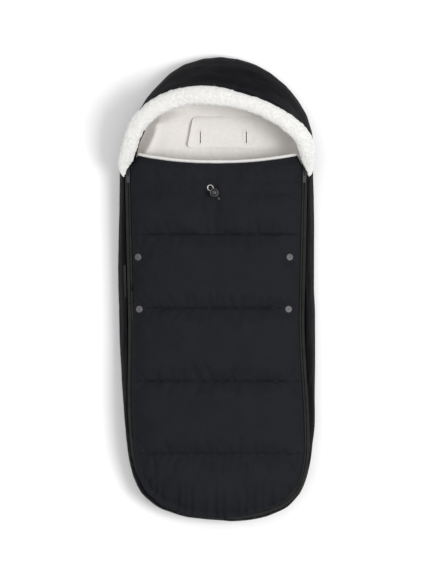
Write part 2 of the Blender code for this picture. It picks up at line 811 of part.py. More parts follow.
def make_slot_trim():
    """The raised panel round the shoulder slots and the binding of each slot."""
    top = LINING_START + LINING + GAP
    places = slot_places()
    panel_y = PANEL_SHARE * HALF_LENGTH
    centre = (drift(panel_y), panel_y)
    edge = rounded_box(PANEL_WIDTH, PANEL_LENGTH, PANEL_CORNER, centre)
    shoulder = [slot_outline(spot) for name, spot in places.items() if "shoulder" in name]
    plate("slot_panel", [edge, *shoulder], PANEL_THICKNESS, top, "fleece")
    for name, spot in places.items():
        height = top + PANEL_THICKNESS + GAP if "shoulder" in name else top
        width = SLOT_WIDTH + 2 * BINDING_WIDTH
        length = SLOT_LENGTH + 2 * BINDING_WIDTH
        outer = rounded_box(width, length, SLOT_CORNER + BINDING_WIDTH, spot)
        plate(name, [outer, slot_outline(spot)], BINDING_THICKNESS, height, "fleece")


def make_walls(runs, hood):
    runs["right"].panel("side_gusset_right", "fabric", "shell_fabric")
    runs["left"].panel("side_gusset_left", "fabric", "shell_fabric")
    runs["foot"].panel("foot_gusset", "fabric", "shell_fabric")
    runs["tub"].panel("side_wadding", "wadding", "wadding")
    runs["tub"].panel("side_lining", "lining", "fleece")
    hood_wall = Wall(hood)
    hood_wall.panel("hood_panel", "fabric", "shell_fabric")
    hood_wall.panel("hood_wadding", "wadding", "wadding")
    hood_wall.panel("hood_lining", "lining", "fleece")


def make_label(zip_line):
    """A bare woven label on the outside of the left gusset."""
    first, last = (zip_line.arc_at_y(share * HALF_LENGTH) for share in LABEL_Y_SHARES)
    arcs = [first + (last - first) * step / LABEL_STEPS for step in range(LABEL_STEPS + 1)]
    wall = Wall([body_station(zip_line, s, -1) for s in arcs])
    low, high = LABEL_WALL_SHARES
    depths = (-GAP, -GAP - LABEL_THICKNESS)

    def corner(station, step, side):
        share = low + (high - low) * step / LABEL_STEPS
        return wall.point(station, share, depths[side])

    mapped_panel("label_tab", LABEL_STEPS, LABEL_STEPS, corner, "label")


def table(shares, value):
    return float(np.interp(value, [row[0] for row in shares], [row[1] for row in shares]))


def make_cuff(zip_line):
    """The fleece roll that lies on the hood's rim and tapers away beside the sliders."""
    path = hood_path(zip_line)[:, :3]
    tails = []
    for sign in (-1, 1):
        x, y = zip_line.at(CUFF_TAIL, ZIP_SEAM)
        tails.append((sign * x, y, 0.0))
    path = np.vstack((tails[0], path, tails[1]))
    lengths = np.linalg.norm(np.diff(path[:, :2], axis=0), axis=1)
    arc = np.concatenate(([0], np.cumsum(lengths)))
    half_arc = arc[-1] / 2
    # Rings stand closer together towards the tails
    turns = [math.sin(math.radians(90) * (2 * i / CUFF_STEPS - 1)) for i in range(CUFF_STEPS + 1)]
    spots = np.array([half_arc * (1 + turn) for turn in turns])
    centres = np.stack([np.interp(spots, arc, path[:, k]) for k in range(3)], axis=1)
    along = np.gradient(centres[:, :2], spots, axis=0)
    along /= np.linalg.norm(along, axis=1)[:, None]

    def corner(ring, side):
        reach = abs(turns[ring])
        nx, ny = -along[ring][1], along[ring][0]
        width = CUFF_WIDTH * table(CUFF_WIDTH_SHARES, reach)
        thick = CUFF_THICKNESS * table(CUFF_THICK_SHARES, reach)
        shift = CUFF_SHIFT * table(CUFF_SHIFT_SHARES, reach)
        angle = math.radians(360) * side / CUFF_SIDES
        out = shift + width / 2 * math.cos(angle)
        x, y, rise = centres[ring]
        lift_share = 1 - smooth_step(y / HALF_LENGTH, RUN_TOP_SHARES[1], CUFF_LIFT_START_SHARE)
        bottom = ZIP_HEIGHT + rise + CUFF_SEAT + CUFF_LIFT * lift_share
        z = bottom + thick / 2 * (1 + math.sin(angle))
        return settle(x + nx * out, y + ny * out, z)

    mapped_tube("fleece_cuff", CUFF_STEPS, CUFF_SIDES, corner, "cuff_fleece")


def make_cover(cover, flap_hinge):
    """Three layers each of the flap and of the lower cover."""
    looks = {"fabric": "cover_fabric", "wadding": "wadding", "lining": "fleece"}
    columns = len(COLUMN_SHARES) - 1
    made = {}
    for layer, look in looks.items():
        rows = cover.flap
        name = f"flap_{layer}"
        made[name] = mapped_panel(name, columns, len(rows) - 1, cover.place(layer, rows), look)
        hold(made[name], flap_hinge)
        rows = cover.lower
        name = f"cover_{layer}"
        made[name] = mapped_panel(name, columns, len(rows) - 1, cover.place(layer, rows), look)
    return made


def make_piping(cover, flap_hinge):
    """A fleece roll along the flap's free edge."""
    row = cover.flap[-1]
    reach = PIPING_DIAMETER / 2 + GAP
    points = []
    for share in COLUMN_SHARES:
        x, y = cover.spot(row, share)
        top = cover.heights("fabric", row, share)[0]
        low = cover.heights("lining", row, share)[1]
        points.append(settle(x, y + reach, (top + low) / 2))
    hold(pipe("flap_edge_piping", points, PIPING_DIAMETER / 2, 2, "cuff_fleece"), flap_hinge)


def ribbon(name, zip_line, arcs, sign, offsets, heights, look):
    """A flat strip that follows the zip line."""

    def corner(station, side, layer):
        x, y = zip_line.at(arcs[station], offsets[side])
        return settle(sign * x, y, heights[layer])

    return mapped_panel(name, len(arcs) - 1, 1, corner, look)


def zip_arcs(zip_line, cover):
    """Arcs of the zip halves: the flap's part, the lower cover's part and the whole."""
    run = [zip_line.arc_at_y(row[0]) for row in cover.lower if row[1] == 0]
    upper = zip_line.arc_at_y(cover.flap[0][0])
    flap = [upper * step / RUN_STEPS for step in range(RUN_STEPS + 1)]
    lower = sorted({*run, *foot_arcs(zip_line, cover)})
    lower[-1] = zip_line.length - STOP_LENGTH / 2 - GAP
    whole = [0.0, *lower]
    return flap, lower, whole


def make_zips(zip_line, cover, flap_hinge):
    tape_low = ZIP_HEIGHT + TAPE_LIFT
    tape = (tape_low, tape_low + TAPE_THICKNESS)
    coil = (ZIP_HEIGHT - COIL_HEIGHT, ZIP_HEIGHT)
    flap, lower, whole = zip_arcs(zip_line, cover)
    tape_out = (ZIP_HALF_GAP, ZIP_SEAM)
    coil_out = (ZIP_HALF_GAP, ZIP_HALF_GAP + COIL_WIDTH)
    tape_in = tuple(-value for value in tape_out)
    coil_in = tuple(-value for value in coil_out)
    for side, sign in (("left", -1), ("right", 1)):
        ribbon(f"zip_tape_shell_{side}", zip_line, whole, sign, tape_out, tape, "zip_tape")
        ribbon(f"zip_coil_shell_{side}", zip_line, whole, sign, coil_out, coil, "zip_coil")
        ribbon(f"zip_tape_lower_{side}", zip_line, lower, sign, tape_in, tape, "zip_tape")
        ribbon(f"zip_coil_lower_{side}", zip_line, lower, sign, coil_in, coil, "zip_coil")
        strip = ribbon(f"zip_tape_flap_{side}", zip_line, flap, sign, tape_in, tape, "zip_tape")
        hold(strip, flap_hinge)
        strip = ribbon(f"zip_coil_flap_{side}", zip_line, flap, sign, coil_in, coil, "zip_coil")
        hold(strip, flap_hinge)
    x, y = zip_line.at(zip_line.length)
    centre = settle(x, y, ZIP_HEIGHT - COIL_HEIGHT + STOP_HEIGHT / 2)
    cube("zip_bottom_stop", (STOP_LENGTH, STOP_WIDTH, STOP_HEIGHT), centre, "zip_metal")


def slider_levels():
    """Heights of the slider's two plates, above the zip line's height."""
    upper = TAPE_LIFT + TAPE_THICKNESS + SLIDER_CLEARANCE
    lower = -COIL_HEIGHT - SLIDER_CLEARANCE
    return upper, upper + SLIDER_PLATE, lower, lower - SLIDER_PLATE


def extruded(name, outline, depth, look, group="footmuff"):
    """A flat outline of (x, y) points given a thickness, as a mesh centred on its plane."""
    bm = bmesh.new()
    face = bm.faces.new([bm.verts.new((x, y, -depth / 2)) for x, y in outline])
    made = bmesh.ops.extrude_face_region(bm, geom=[face], use_keep_orig=True)
    bmesh.ops.translate(
        bm, vec=(0, 0, depth), verts=[v for v in made["geom"] if isinstance(v, bmesh.types.BMVert)]
    )
    return finish_mesh(bm, name, look, group)


def stand_up(item, axis):
    """Turns a mesh's own points so that its outline stands on edge, seen along the named axis."""
    item.data.transform(Matrix.Rotation(math.radians(90), 4, "X"))
    if axis == "X":
        item.data.transform(Matrix.Rotation(math.radians(90), 4, "Z"))


def slider_section():
    """The slider seen along the zip: two plates, the post between them and the lower lips."""
    upper, top, lower, bottom = slider_levels()
    half = SLIDER_WIDTH / 2
    post = SLIDER_POST / 2
    lip = half - SLIDER_LIP
    lip_top = lower + SLIDER_LIP_HEIGHT
    right = [(half, bottom), (half, lip_top), (lip, lip_top), (lip, lower), (post, lower)]
    right += [(post, upper), (half, upper), (half, top)]
    return right + [(-x, z) for x, z in reversed(right)]


def bridge_section():
    """The bridge seen from the side, standing in the slider's upper plate."""
    top = slider_levels()[1]
    half = BRIDGE_LENGTH / 2
    inner = half - BRIDGE_FOOT
    low = top - BRIDGE_SINK
    under = top + BRIDGE_OPENING
    high = under + BRIDGE_BAR
    return [
        (-half, low), (-inner, low), (-inner, under), (inner, under),
        (inner, low), (half, low), (half, high), (-half, high),
    ]


def pull_outline():
    """The pull tab's edge and its eye, with the hinge axis on y = 0."""
    end = PULL_CROSSBAR / 2
    centre = (0, end - PULL_LENGTH / 2)
    edge = rounded_box(PULL_WIDTH, PULL_LENGTH, PULL_CORNER, centre)
    eye_centre = (0, -end - PULL_EYE_LENGTH / 2)
    eye = rounded_box(PULL_EYE_WIDTH, PULL_EYE_LENGTH, PULL_CROSSBAR / 2, eye_centre)
    return [edge, eye]


def make_slider(zip_line, side, sign):
    """A slider parked at the head end of its zip, and its pull tab lying towards the foot."""
    x, y = zip_line.at(SLIDER_PARK_BACK)
    x *= sign
    nx, ny = zip_line.normal(SLIDER_PARK_BACK)
    turn = math.atan2(sign * ny, nx)
    spot = Vector((x, y, ZIP_HEIGHT))
    slider = extruded(f"slider_{side}", slider_section(), SLIDER_LENGTH, "zip_metal")
    stand_up(slider, "Y")
    bridge = extruded(f"bridge_{side}", bridge_section(), BRIDGE_WIDTH, "zip_metal", "cutters")
    stand_up(bridge, "X")
    for item in (slider, bridge):
        item.location = spot
        item.rotation_euler.z = turn
    boolean(slider, bridge, "UNION")
    hinge_height = slider_levels()[1] + BRIDGE_OPENING / 2
    pull = plate(f"pull_tab_{side}", pull_outline(), PULL_THICKNESS, 0.0, "black_plastic")
    pull.location = spot + Vector((0, 0, hinge_height))
    pull.rotation_euler.z = turn
    hold(pull, slider)


def seat(cover, layer, side, x, y, radius, slope):
    """Where a disc tilted by slope about Y just clears a layer's face at (x, y)."""
    base = cover.surface(layer, side, x, y)
    way = 1 if side == 0 else -1
    rise = 0.0
    for turn in range(SEAT_SAMPLES):
        angle = math.radians(360) * turn / SEAT_SAMPLES
        dx, dy = radius * math.cos(angle), radius * math.sin(angle)
        plane = base + slope * dx
        rise = max(rise, way * (cover.surface(layer, side, x + dx, y + dy) - plane))
    return base + way * (rise + SEAT_GAP)


def snap_profile(length, knob):
    """The outer half of a snap, with its post of the given length below the flange."""
    flange = SNAP_FLANGE
    top = flange + SNAP_DOME
    body = [(SNAP_RADIUS, flange), (SNAP_RADIUS, 0), (SNAP_POST_RADIUS, 0)]
    body += [(SNAP_POST_RADIUS, -length), (0, -length)]
    shoulder = SNAP_RADIUS - SNAP_DOME
    if knob:
        head = [(0, top + SNAP_KNOB_HEIGHT), (SNAP_KNOB_RADIUS, top + SNAP_KNOB_HEIGHT)]
        head += [(SNAP_KNOB_RADIUS, top)]
    else:
        radius = SNAP_KNOB_RADIUS + SNAP_KNOB_CLEARANCE
        head = [(0, top - SNAP_SOCKET_DEPTH), (radius, top - SNAP_SOCKET_DEPTH), (radius, top)]
    return [*head, (shoulder, top), *body]


def make_snap(cover, made, name, part, x, y, knob, holder):
    """An outer snap half on the fabric, its inner cap on the lining and the holes for its post."""
    reach = SNAP_RADIUS
    high = cover.surface("fabric", 0, x + reach, y)
    low = cover.surface("fabric", 0, x - reach, y)
    slope = (high - low) / (2 * reach)
    tilt = -math.atan(slope)
    axis = Vector((math.sin(tilt), 0, math.cos(tilt)))
    top = seat(cover, "fabric", 0, x, y, reach, slope)
    spot = settle(x, y, top)
    under = seat(cover, "lining", 1, x, y, SNAP_CAP_RADIUS, slope)
    depth = (top - under) * math.cos(tilt)
    kind = "stud" if knob else "socket"
    outer = turned(f"snap_{kind}_{name}", snap_profile(depth, knob), SNAP_SEGMENTS, "black_plastic")
    cap_profile = [
        (0, -GAP), (SNAP_CAP_RADIUS, -GAP),
        (SNAP_CAP_RADIUS, -GAP - SNAP_CAP_THICKNESS), (0, -GAP - SNAP_CAP_THICKNESS),
    ]
    cap = turned(f"snap_cap_{name}", cap_profile, SNAP_SEGMENTS, "black_plastic")
    for item, place in ((outer, spot), (cap, spot - axis * depth)):
        item.location = place
        item.rotation_euler.y = tilt
        if holder is not None:
            hold(item, holder)
    bore = SNAP_POST_RADIUS + SNAP_POST_CLEARANCE
    cutter = post_hole(f"snap_hole_{name}", bore, depth, spot, tilt)
    for layer in ("fabric", "wadding", "lining"):
        boolean(made[f"{part}_{layer}"], cutter)


def post_hole(name, radius, depth, spot, tilt=0.0):
    """A cutter that runs past both faces of what it cuts."""
    top, bottom = CUT_OVERRUN, -depth - CUT_OVERRUN
    profile = [(0, top), (radius, top), (radius, bottom), (0, bottom)]
    cutter = turned(name, profile, SNAP_SEGMENTS, "black_plastic", group="cutters")
    cutter.location = spot
    cutter.rotation_euler.y = tilt
    return cutter


def make_snaps(cover, made, flap_hinge):
    upper_y = SNAP_UPPER_SHARE * HALF_LENGTH
    lower_y = SNAP_LOWER_SHARE * HALF_LENGTH
    for side, sign in (("left", -1), ("right", 1)):
        x = sign * (cover.half(upper_y) - SNAP_INSET) + SNAP_DRIFT
        make_snap(cover, made, f"upper_{side}", "flap", x, upper_y, False, flap_hinge)
        x = sign * (cover.half(lower_y) - SNAP_INSET) + SNAP_DRIFT
        make_snap(cover, made, f"lower_{side}", "cover", x, lower_y, True, None)


def make_eyelet(cover, made, flap_hinge):
    """The eyelet over the drawcord casing and the washer under the fabric."""
    x, y = EYELET_X, EYELET_SHARE * HALF_LENGTH
    top = seat(cover, "fabric", 0, x, y, EYELET_RADIUS, 0.0)
    under = seat(cover, "fabric", 1, x, y, EYELET_RADIUS, 0.0)
    outer = EYELET_HOLE + EYELET_TUBE
    bottom = under - top - EYELET_RING
    middle = (EYELET_HOLE + EYELET_RADIUS) / 2
    profile = [
        (EYELET_HOLE, EYELET_FLANGE / 2), (middle, EYELET_FLANGE), (EYELET_RADIUS, EYELET_FLANGE / 2),
        (EYELET_RADIUS, 0), (outer, 0), (outer, bottom), (EYELET_HOLE, bottom),
    ]
    eyelet = turned("eyelet", profile, EYELET_SEGMENTS, "nickel", closed=True)
    ring = [
        (outer + GAP, 0), (EYELET_RADIUS, 0), (EYELET_RADIUS, -EYELET_RING), (outer + GAP, -EYELET_RING),
    ]
    washer = turned("eyelet_washer", ring, EYELET_SEGMENTS, "nickel", closed=True)
    eyelet.location = settle(x, y, top)
    washer.location = settle(x, y, under)
    hole = post_hole("eyelet_hole", outer + GAP, top - under, settle(x, y, top))
    boolean(made["flap_fabric"], hole)
    hold(eyelet, flap_hinge)
    hold(washer, flap_hinge)
    return top, under - EYELET_RING - GAP


def make_drawcord(cover, flap_hinge, top):
    """The elastic cord that runs across the flap inside its casing, under the eyelet."""
    y = EYELET_SHARE * HALF_LENGTH
    eyelet_low = cover.surface("fabric", 1, EYELET_X, y)
    drop = eyelet_low - top + DRAWCORD_RADIUS
    half = cover.half(y)
    shares = [-CASING_SPAN_SHARE, *COLUMN_SHARES[2:-2], CASING_SPAN_SHARE]
    points = []
    for share in shares:
        x = share * half
        points.append(settle(x, y, cover.surface("fabric", 1, x, y) - drop))
    hold(pipe("drawcord", points, DRAWCORD_RADIUS, 1, "cord"), flap_hinge)


def lock_base(cover, direction, eyelet_top):
    """Height of the cord lock's underside, clear of the eyelet and of the cloth along its slide."""
    x0, y0 = EYELET_X, EYELET_SHARE * HALF_LENGTH
    heights = [eyelet_top + EYELET_FLANGE]
    for travel in (0.0, LOCK_SLIDE / 2, LOCK_SLIDE):
        reach = LOCK_DISTANCE + travel
        cx, cy = x0 + direction.x * reach, y0 + direction.y * reach
        for turn in range(SEAT_SAMPLES):
            angle = math.radians(360) * turn / SEAT_SAMPLES
            dx, dy = LOCK_RADIUS * math.cos(angle), LOCK_RADIUS * math.sin(angle)
            heights.append(cover.surface("fabric", 0, cx + dx, cy + dy))
    return max(heights) + GAP


def make_cord(direction, spot, base, start):
    """The drawcord's end: up through the eyelet, over and straight through the cord lock."""
    run_height = base + CORD_HEIGHT
    bend = LOCK_DISTANCE - LOCK_RADIUS
    points = [Vector((spot.x, spot.y, start)), Vector((spot.x, spot.y, run_height - bend))]
    for step in range(1, CORD_BEND_STEPS + 1):
        angle = math.radians(90) * step / CORD_BEND_STEPS
        across = bend * (1 - math.cos(angle))
        up = run_height - bend + bend * math.sin(angle)
        points.append(Vector((spot.x, spot.y, up)) + direction * across)
    end = LOCK_DISTANCE + LOCK_RADIUS + CORD_TAIL
    steps = CORD_RUN_STEPS
    for step in range(1, steps + 1):
        reach = bend + (end - bend) * step / steps
        points.append(Vector((spot.x, spot.y, run_height)) + direction * reach)
    return pipe("cord_end", points, CORD_RADIUS, 2, "cord")


def across_cutter(name, radius, centre, turn, stretch=0.0):
    """A round bar along the cord's run, stretched upwards into an upright slot."""
    length = 2 * (LOCK_RADIUS + CUT_OVERRUN)
    steps = HALF_ROUND_STEPS
    outline = []
    for step in range(steps + 1):
        angle = math.radians(180) * step / steps
        outline.append((radius * math.cos(angle), stretch + radius * math.sin(angle)))
    for step in range(steps + 1):
        angle = math.radians(180) * (1 + step / steps)
        outline.append((radius * math.cos(angle), radius * math.sin(angle)))
    if stretch == 0:
        outline = outline[:steps] + outline[steps + 1 : -1]
    cutter = extruded(name, outline, length, "black_plastic", "cutters")
    stand_up(cutter, "X")
    cutter.location = centre
    cutter.rotation_euler.z = turn
    return cutter


def make_cord_lock(cover, flap_hinge, eyelet_top, cord_start):
    """The barrel on the cord, its sprung plunger and the spring under it."""
    angle = math.radians(LOCK_DIRECTION_DEG)
    direction = Vector((math.cos(angle), math.sin(angle), 0))
    eye = settle(EYELET_X, EYELET_SHARE * HALF_LENGTH, 0.0)
    base = lock_base(cover, direction, eyelet_top)
    cord = make_cord(direction, eye, base, cord_start)
    hold(cord, flap_hinge)
    centre = eye + direction * LOCK_DISTANCE
    centre.z = base
    edge = LOCK_RADIUS - LOCK_EDGE
    barrel_profile = [
        (0, LOCK_FLOOR), (LOCK_BORE, LOCK_FLOOR), (LOCK_BORE, LOCK_HEIGHT), (edge, LOCK_HEIGHT),
        (LOCK_RADIUS, LOCK_HEIGHT - LOCK_EDGE), (LOCK_RADIUS, LOCK_EDGE), (edge, 0), (0, 0),
    ]
    barrel = turned("cord_lock_barrel", barrel_profile, LOCK_SEGMENTS, "black_plastic")
    dome = PLUNGER_TOP - PLUNGER_DOME
    plunger_profile = [(0, PLUNGER_TOP)]
    for step in range(1, DOME_STEPS + 1):
        turn = math.radians(90) * step / DOME_STEPS
        plunger_profile.append((PLUNGER_RADIUS * math.sin(turn), dome + PLUNGER_DOME * math.cos(turn)))
    plunger_profile += [(PLUNGER_RADIUS, PLUNGER_BOTTOM), (0, PLUNGER_BOTTOM)]
    plunger = turned("cord_lock_plunger", plunger_profile, LOCK_SEGMENTS, "black_plastic")
    cord_line = centre + Vector((0, 0, CORD_HEIGHT))
    boolean(barrel, across_cutter("cord_hole", CORD_HOLE, cord_line, angle))
    slot_radius = CORD_RADIUS + PLUNGER_SLOT_CLEARANCE
    boolean(plunger, across_cutter("plunger_slot", slot_radius, cord_line, angle, PLUNGER_TRAVEL))
    spring = make_spring(centre)
    barrel.location = centre
    plunger.location = centre
    hold(barrel, flap_hinge)
    hold(plunger, barrel)
    hold(spring, barrel)


def make_spring(centre):
    """A coil spring between the barrel's floor and the plunger."""
    low = LOCK_FLOOR + GAP + SPRING_WIRE
    high = PLUNGER_BOTTOM - GAP - SPRING_WIRE
    count = SPRING_TURNS * SPRING_POINTS_A_TURN
    points = []
    for step in range(count + 1):
        share = step / count
        turn = math.radians(360) * SPRING_TURNS * share
        across = Vector((math.cos(turn), math.sin(turn), 0)) * (SPRING_RADIUS - SPRING_WIRE)
        points.append(centre + across + Vector((0, 0, low + (high - low) * share)))
    return pipe("cord_lock_spring", points, SPRING_WIRE, 1, "spring_steel")


def main():
    clear_scene()
    collection("footmuff")
    collection("cutters")
    zip_line = ZipLine()
    cover = Cover(zip_line)
    runs = wall_runs(zip_line, cover)
    hood = hood_stations(zip_line, HOOD_STEPS)
    crest = ZIP_HEIGHT + COVER_RAISE + COVER_CROWN + QUILT_PUFF + HINGE_CLEARANCE
    flap_hinge = empty("flap_hinge", (0, FOLD_SHARE * HALF_LENGTH, crest))
    make_back(hood, runs["tub"])
    make_slot_trim()
    make_walls(runs, hood)
    make_label(zip_line)
    make_cuff(zip_line)
    made = make_cover(cover, flap_hinge)
    make_piping(cover, flap_hinge)
    make_zips(zip_line, cover, flap_hinge)
    for side, sign in (("left", -1), ("right", 1)):
        make_slider(zip_line, side, sign)
    make_snaps(cover, made, flap_hinge)
    eyelet_top, washer_low = make_eyelet(cover, made, flap_hinge)
    make_drawcord(cover, flap_hinge, washer_low)
    make_cord_lock(cover, flap_hinge, eyelet_top, washer_low + GAP)


main()
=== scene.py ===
"""Stroller footmuff, zipped up and lying on its back: its cloth, fleece, zips and fasteners.

Metres, +Z up, +Y towards the head end. Left and right are as seen from above.
"""

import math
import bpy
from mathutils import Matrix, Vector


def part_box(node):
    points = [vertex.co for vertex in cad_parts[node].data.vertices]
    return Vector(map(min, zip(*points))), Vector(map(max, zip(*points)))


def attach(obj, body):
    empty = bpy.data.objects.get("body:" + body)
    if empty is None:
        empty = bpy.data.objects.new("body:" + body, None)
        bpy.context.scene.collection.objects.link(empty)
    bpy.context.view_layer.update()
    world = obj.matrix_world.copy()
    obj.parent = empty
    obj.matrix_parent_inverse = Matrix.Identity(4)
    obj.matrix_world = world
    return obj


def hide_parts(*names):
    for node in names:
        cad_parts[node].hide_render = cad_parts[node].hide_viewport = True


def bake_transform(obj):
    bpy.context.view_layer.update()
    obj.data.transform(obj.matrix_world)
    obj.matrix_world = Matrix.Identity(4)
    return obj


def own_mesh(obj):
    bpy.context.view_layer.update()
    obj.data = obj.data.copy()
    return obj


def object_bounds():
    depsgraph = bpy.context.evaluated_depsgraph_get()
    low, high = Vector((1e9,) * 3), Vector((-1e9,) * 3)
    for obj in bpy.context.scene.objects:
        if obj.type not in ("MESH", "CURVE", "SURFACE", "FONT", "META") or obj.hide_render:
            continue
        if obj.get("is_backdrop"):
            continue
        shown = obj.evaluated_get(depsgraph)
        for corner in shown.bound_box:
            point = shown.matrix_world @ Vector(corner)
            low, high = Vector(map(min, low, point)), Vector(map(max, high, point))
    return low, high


bl_info = {
    "name": "Stroller Footmuff",
    "version": (1, 0, 0),
    "blender": (4, 5, 0),
    "location": "3D View > Sidebar > Footmuff",
    "description": "Dresses a padded stroller footmuff over its packed frame",
    "category": "Object",
}

import bmesh
import bpy
import numpy as np
from bpy.props import FloatProperty, FloatVectorProperty, IntProperty, PointerProperty
from mathutils import Matrix, Vector, noise
from mathutils.bvhtree import BVHTree

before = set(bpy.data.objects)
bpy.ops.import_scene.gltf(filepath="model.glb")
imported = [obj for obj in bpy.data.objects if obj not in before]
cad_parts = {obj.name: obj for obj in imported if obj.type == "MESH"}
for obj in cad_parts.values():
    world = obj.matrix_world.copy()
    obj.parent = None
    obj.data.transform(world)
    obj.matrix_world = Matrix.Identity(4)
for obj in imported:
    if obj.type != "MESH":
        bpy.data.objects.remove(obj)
CAD_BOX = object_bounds()

SIDES = (("left", -1), ("right", 1))
LOOK_PREFIX = "footmuff_"

# Camera and its view of the floor
CAMERA_HEIGHT = 10.0
CAMERA_X = 0.0017
VIEW_LENGTH = 1.2506
SUBJECT_HEIGHT = 0.08
SENSOR = 36.0

# Cover: edge height, crown and quilting
EDGE_HEIGHT = 0.0779
CROWN = 0.0110
PUFF = 0.0060
PUFF_REACH = 0.042
EDGE_ROLL = 0.0016
EDGE_ROLL_REACH = 0.0050
LOW_EDGE_HEIGHT = 0.0720
LOW_CROWN = 0.0090
LINING_GAP = 0.0003
LINING_DEPTH = 0.0026
SEAMS = (0.1195, -0.0400, -0.1975, -0.3547)
CASING = (0.2075, 0.2315)
FOOT_CORNER_Y = -0.4300
FLAP_DIP = 0.0168
FLAP_EDGE_POWER = 2.2
GUSSET_END_Y = -0.303
SEAM_GAP = 0.0001
SLOTS = ("shoulder_left", "shoulder_right", "waist_left", "waist_right", "crotch")
SLOT_HALF_WIDTH = 0.0035
BINDING_EDGE = 0.0004
BINDING_INSET = 0.002
PANEL_INSET = 0.004
LIP_GAP = 0.0002
PANEL_CURL = 0.0045
PANEL_CURL_LEFT = 0.0090
PANEL_CURL_REACH = 0.011
PANEL_SINK = 0.0028
PANEL_SINK_REACH = 0.009
PANEL_LEAN = 0.013
PANEL_LEAN_REACH = 0.022
STUD_RADIUS = 0.0075
CAP_RADIUS = 0.0065
FLANGE_SEAT = 0.0003
EYELET_SEAT = 0.0012
SETTLE_NEAR = 0.0020
SETTLE_FAR = 0.0130
LEAST_THICKNESS = 0.0012

# How far the cover's edge laps over the zip: (y, reach) along each side, (angle, reach) round the foot
LAP_UNDER = 0.0776
HEM_LAP = 0.0002
LAP_HOLD = 0.004
LEFT_LAP = ((-0.300, 0.0050), (-0.080, 0.0045), (-0.035, 0.0008))
RIGHT_LAP = ((-0.300, 0.0008), (0.290, 0.0008))
FOOT_LAP = (
    (-90, 0.0050), (-62, 0.0110), (-40, 0.0150), (-15, 0.0130), (0, 0.0115), (20, 0.0085), (38, 0.0045),
    (60, 0.0015), (90, 0.0008),
)

# How far the stuffed cloth stands out round the foot, along the right side and round the hood
FOOT_MIDDLE = (0.010, -0.300)
FOOT_FULLNESS = (
    (-90, 0.0), (-78, 0.0010), (-71, 0.0037), (-61, 0.0070), (-51, 0.0104), (-41, 0.0090), (-32, 0.0055),
    (-20, 0.0028), (-12, 0.0), (1, 0.0), (6, 0.0024), (18, 0.0030), (28, 0.0052), (37, 0.0057), (45, 0.0045),
    (53, 0.0020), (61, 0.0), (80, 0.0), (90, 0.0039),
)
SIDE_FULLNESS = ((-0.300, 0.0039), (-0.170, 0.0055), (-0.050, 0.0042), (0.0, 0.0010), (0.06, 0.0))
HOOD_MIDDLE = (0.011, 0.250)
HOOD_FULLNESS = (
    (-50, 0.0020), (-40, 0.0038), (-30, 0.0055), (-20, 0.0072), (-11, 0.0052), (0, 0.0052), (10, 0.0042),
    (20, 0.0040), (27, 0.0048), (35, 0.0078), (45, 0.0080), (55, 0.0055), (64, 0.0010), (70, 0.0),
)
CUFF_MIDDLE = (0.0, 0.250)
CUFF_OUTSIDE = (
    (-90, 0.0), (-76, 0.0040), (-66, 0.0065), (-57, 0.0025), (-48, -0.0060), (-41, -0.0090),
    (-30, -0.0065), (-18, -0.0025), (0, 0.0), (60, -0.0010), (90, 0.0),
)
CUFF_INSIDE = (
    (-90, 0.0), (-86, 0.0), (-81, 0.0025), (-74, -0.0025), (-67, -0.0080), (-60, -0.0065),
    (-50, -0.0025), (-38, 0.0005), (-20, 0.0045), (0, 0.0060), (35, 0.0050), (50, 0.0070), (60, 0.0075),
    (70, 0.0030), (85, 0.0),
)

# How far the hood's rim, its lining's rim and the cuff's underside reach for each other, by bearing
RIM_SHARES = ((-90, 0.0), (-82, 0.5), (-70, 0.8), (-50, 1.0), (50, 1.0), (70, 0.8), (82, 0.5), (90, 0.0))
RIM_RISE = 0.0090
RIM_REACH = 0.022
RIM_SAG = 0.0040
LINING_SHARES = ((-90, 0.0), (-60, 0.0), (-40, 1.0), (60, 1.0), (80, 0.3), (90, 0.0))
LINING_RISE = 0.0120
LINING_REACH = 0.030
RIM_STEP = 3

# The hood's and the walls' cloth run into each other by this much where they are sewn
WALL_SEAM = 0.0025
WALL_SEAM_REACH = 0.010

# Tufts grow on the faces of the cuff that look up, or down no further than this cosine
TUFTS_LOWEST = -0.25

# Lining that stands up in a fold beside the left wall, by y: its crest's x, and its share of the height
WALL_FOLD = (
    (0.2500, -0.1780), (0.2949, -0.1545), (0.3131, -0.1441), (0.3370, -0.1334), (0.3580, -0.1282),
    (0.3764, -0.1198),
)
WALL_FOLD_SHARE = ((0.240, 0.0), (0.280, 1.0), (0.360, 1.0), (0.388, 0.0))
WALL_FOLD_HEIGHT = 0.032
WALL_FOLD_LEFT = 0.026
WALL_FOLD_RIGHT = 0.034

# Inner edge of the dark seam under the left end of the cuff
CUFF_SEAM = (
    (-0.1755, 0.2743), (-0.1700, 0.2961), (-0.1668, 0.3090), (-0.1622, 0.3220), (-0.1567, 0.3327),
    (-0.1528, 0.3424),
)
CUFF_SEAM_WIDTH = 0.009
CUFF_SEAM_DROP = 0.024
CUFF_SEAM_THICKNESS = 0.0012

# Cloth guard behind the zip: its edges in half widths of the tape, and its heights
GUARD_EDGES = (0.6, -2.5)
GUARD_HEIGHTS = (0.0707, 0.0714)
ZIP_MIDDLE_Y = -0.15
TAPE_HEAD = 0.014

# The cord's way out of the eyelet and through its lock
CORD_START = (-0.0128, 0.2195, 0.0913)
CORD_RISE = 0.0108
CORD_BEND = 0.0044
CORD_DIRECTION = (0.61566, -0.78801, 0.0)
CORD_RUN = 0.0270
CORD_RADIUS = 0.0013
DRAWCORD_RADIUS = 0.0013

# The cord's moulded tip: (distance past the cord's end, radius)
CORD_TIP = (
    (-0.0022, 0.0014), (-0.0020, 0.0017), (-0.0004, 0.0018), (0.0004, 0.0016), (0.0008, 0.0011),
    (0.0009, 0.0004),
)

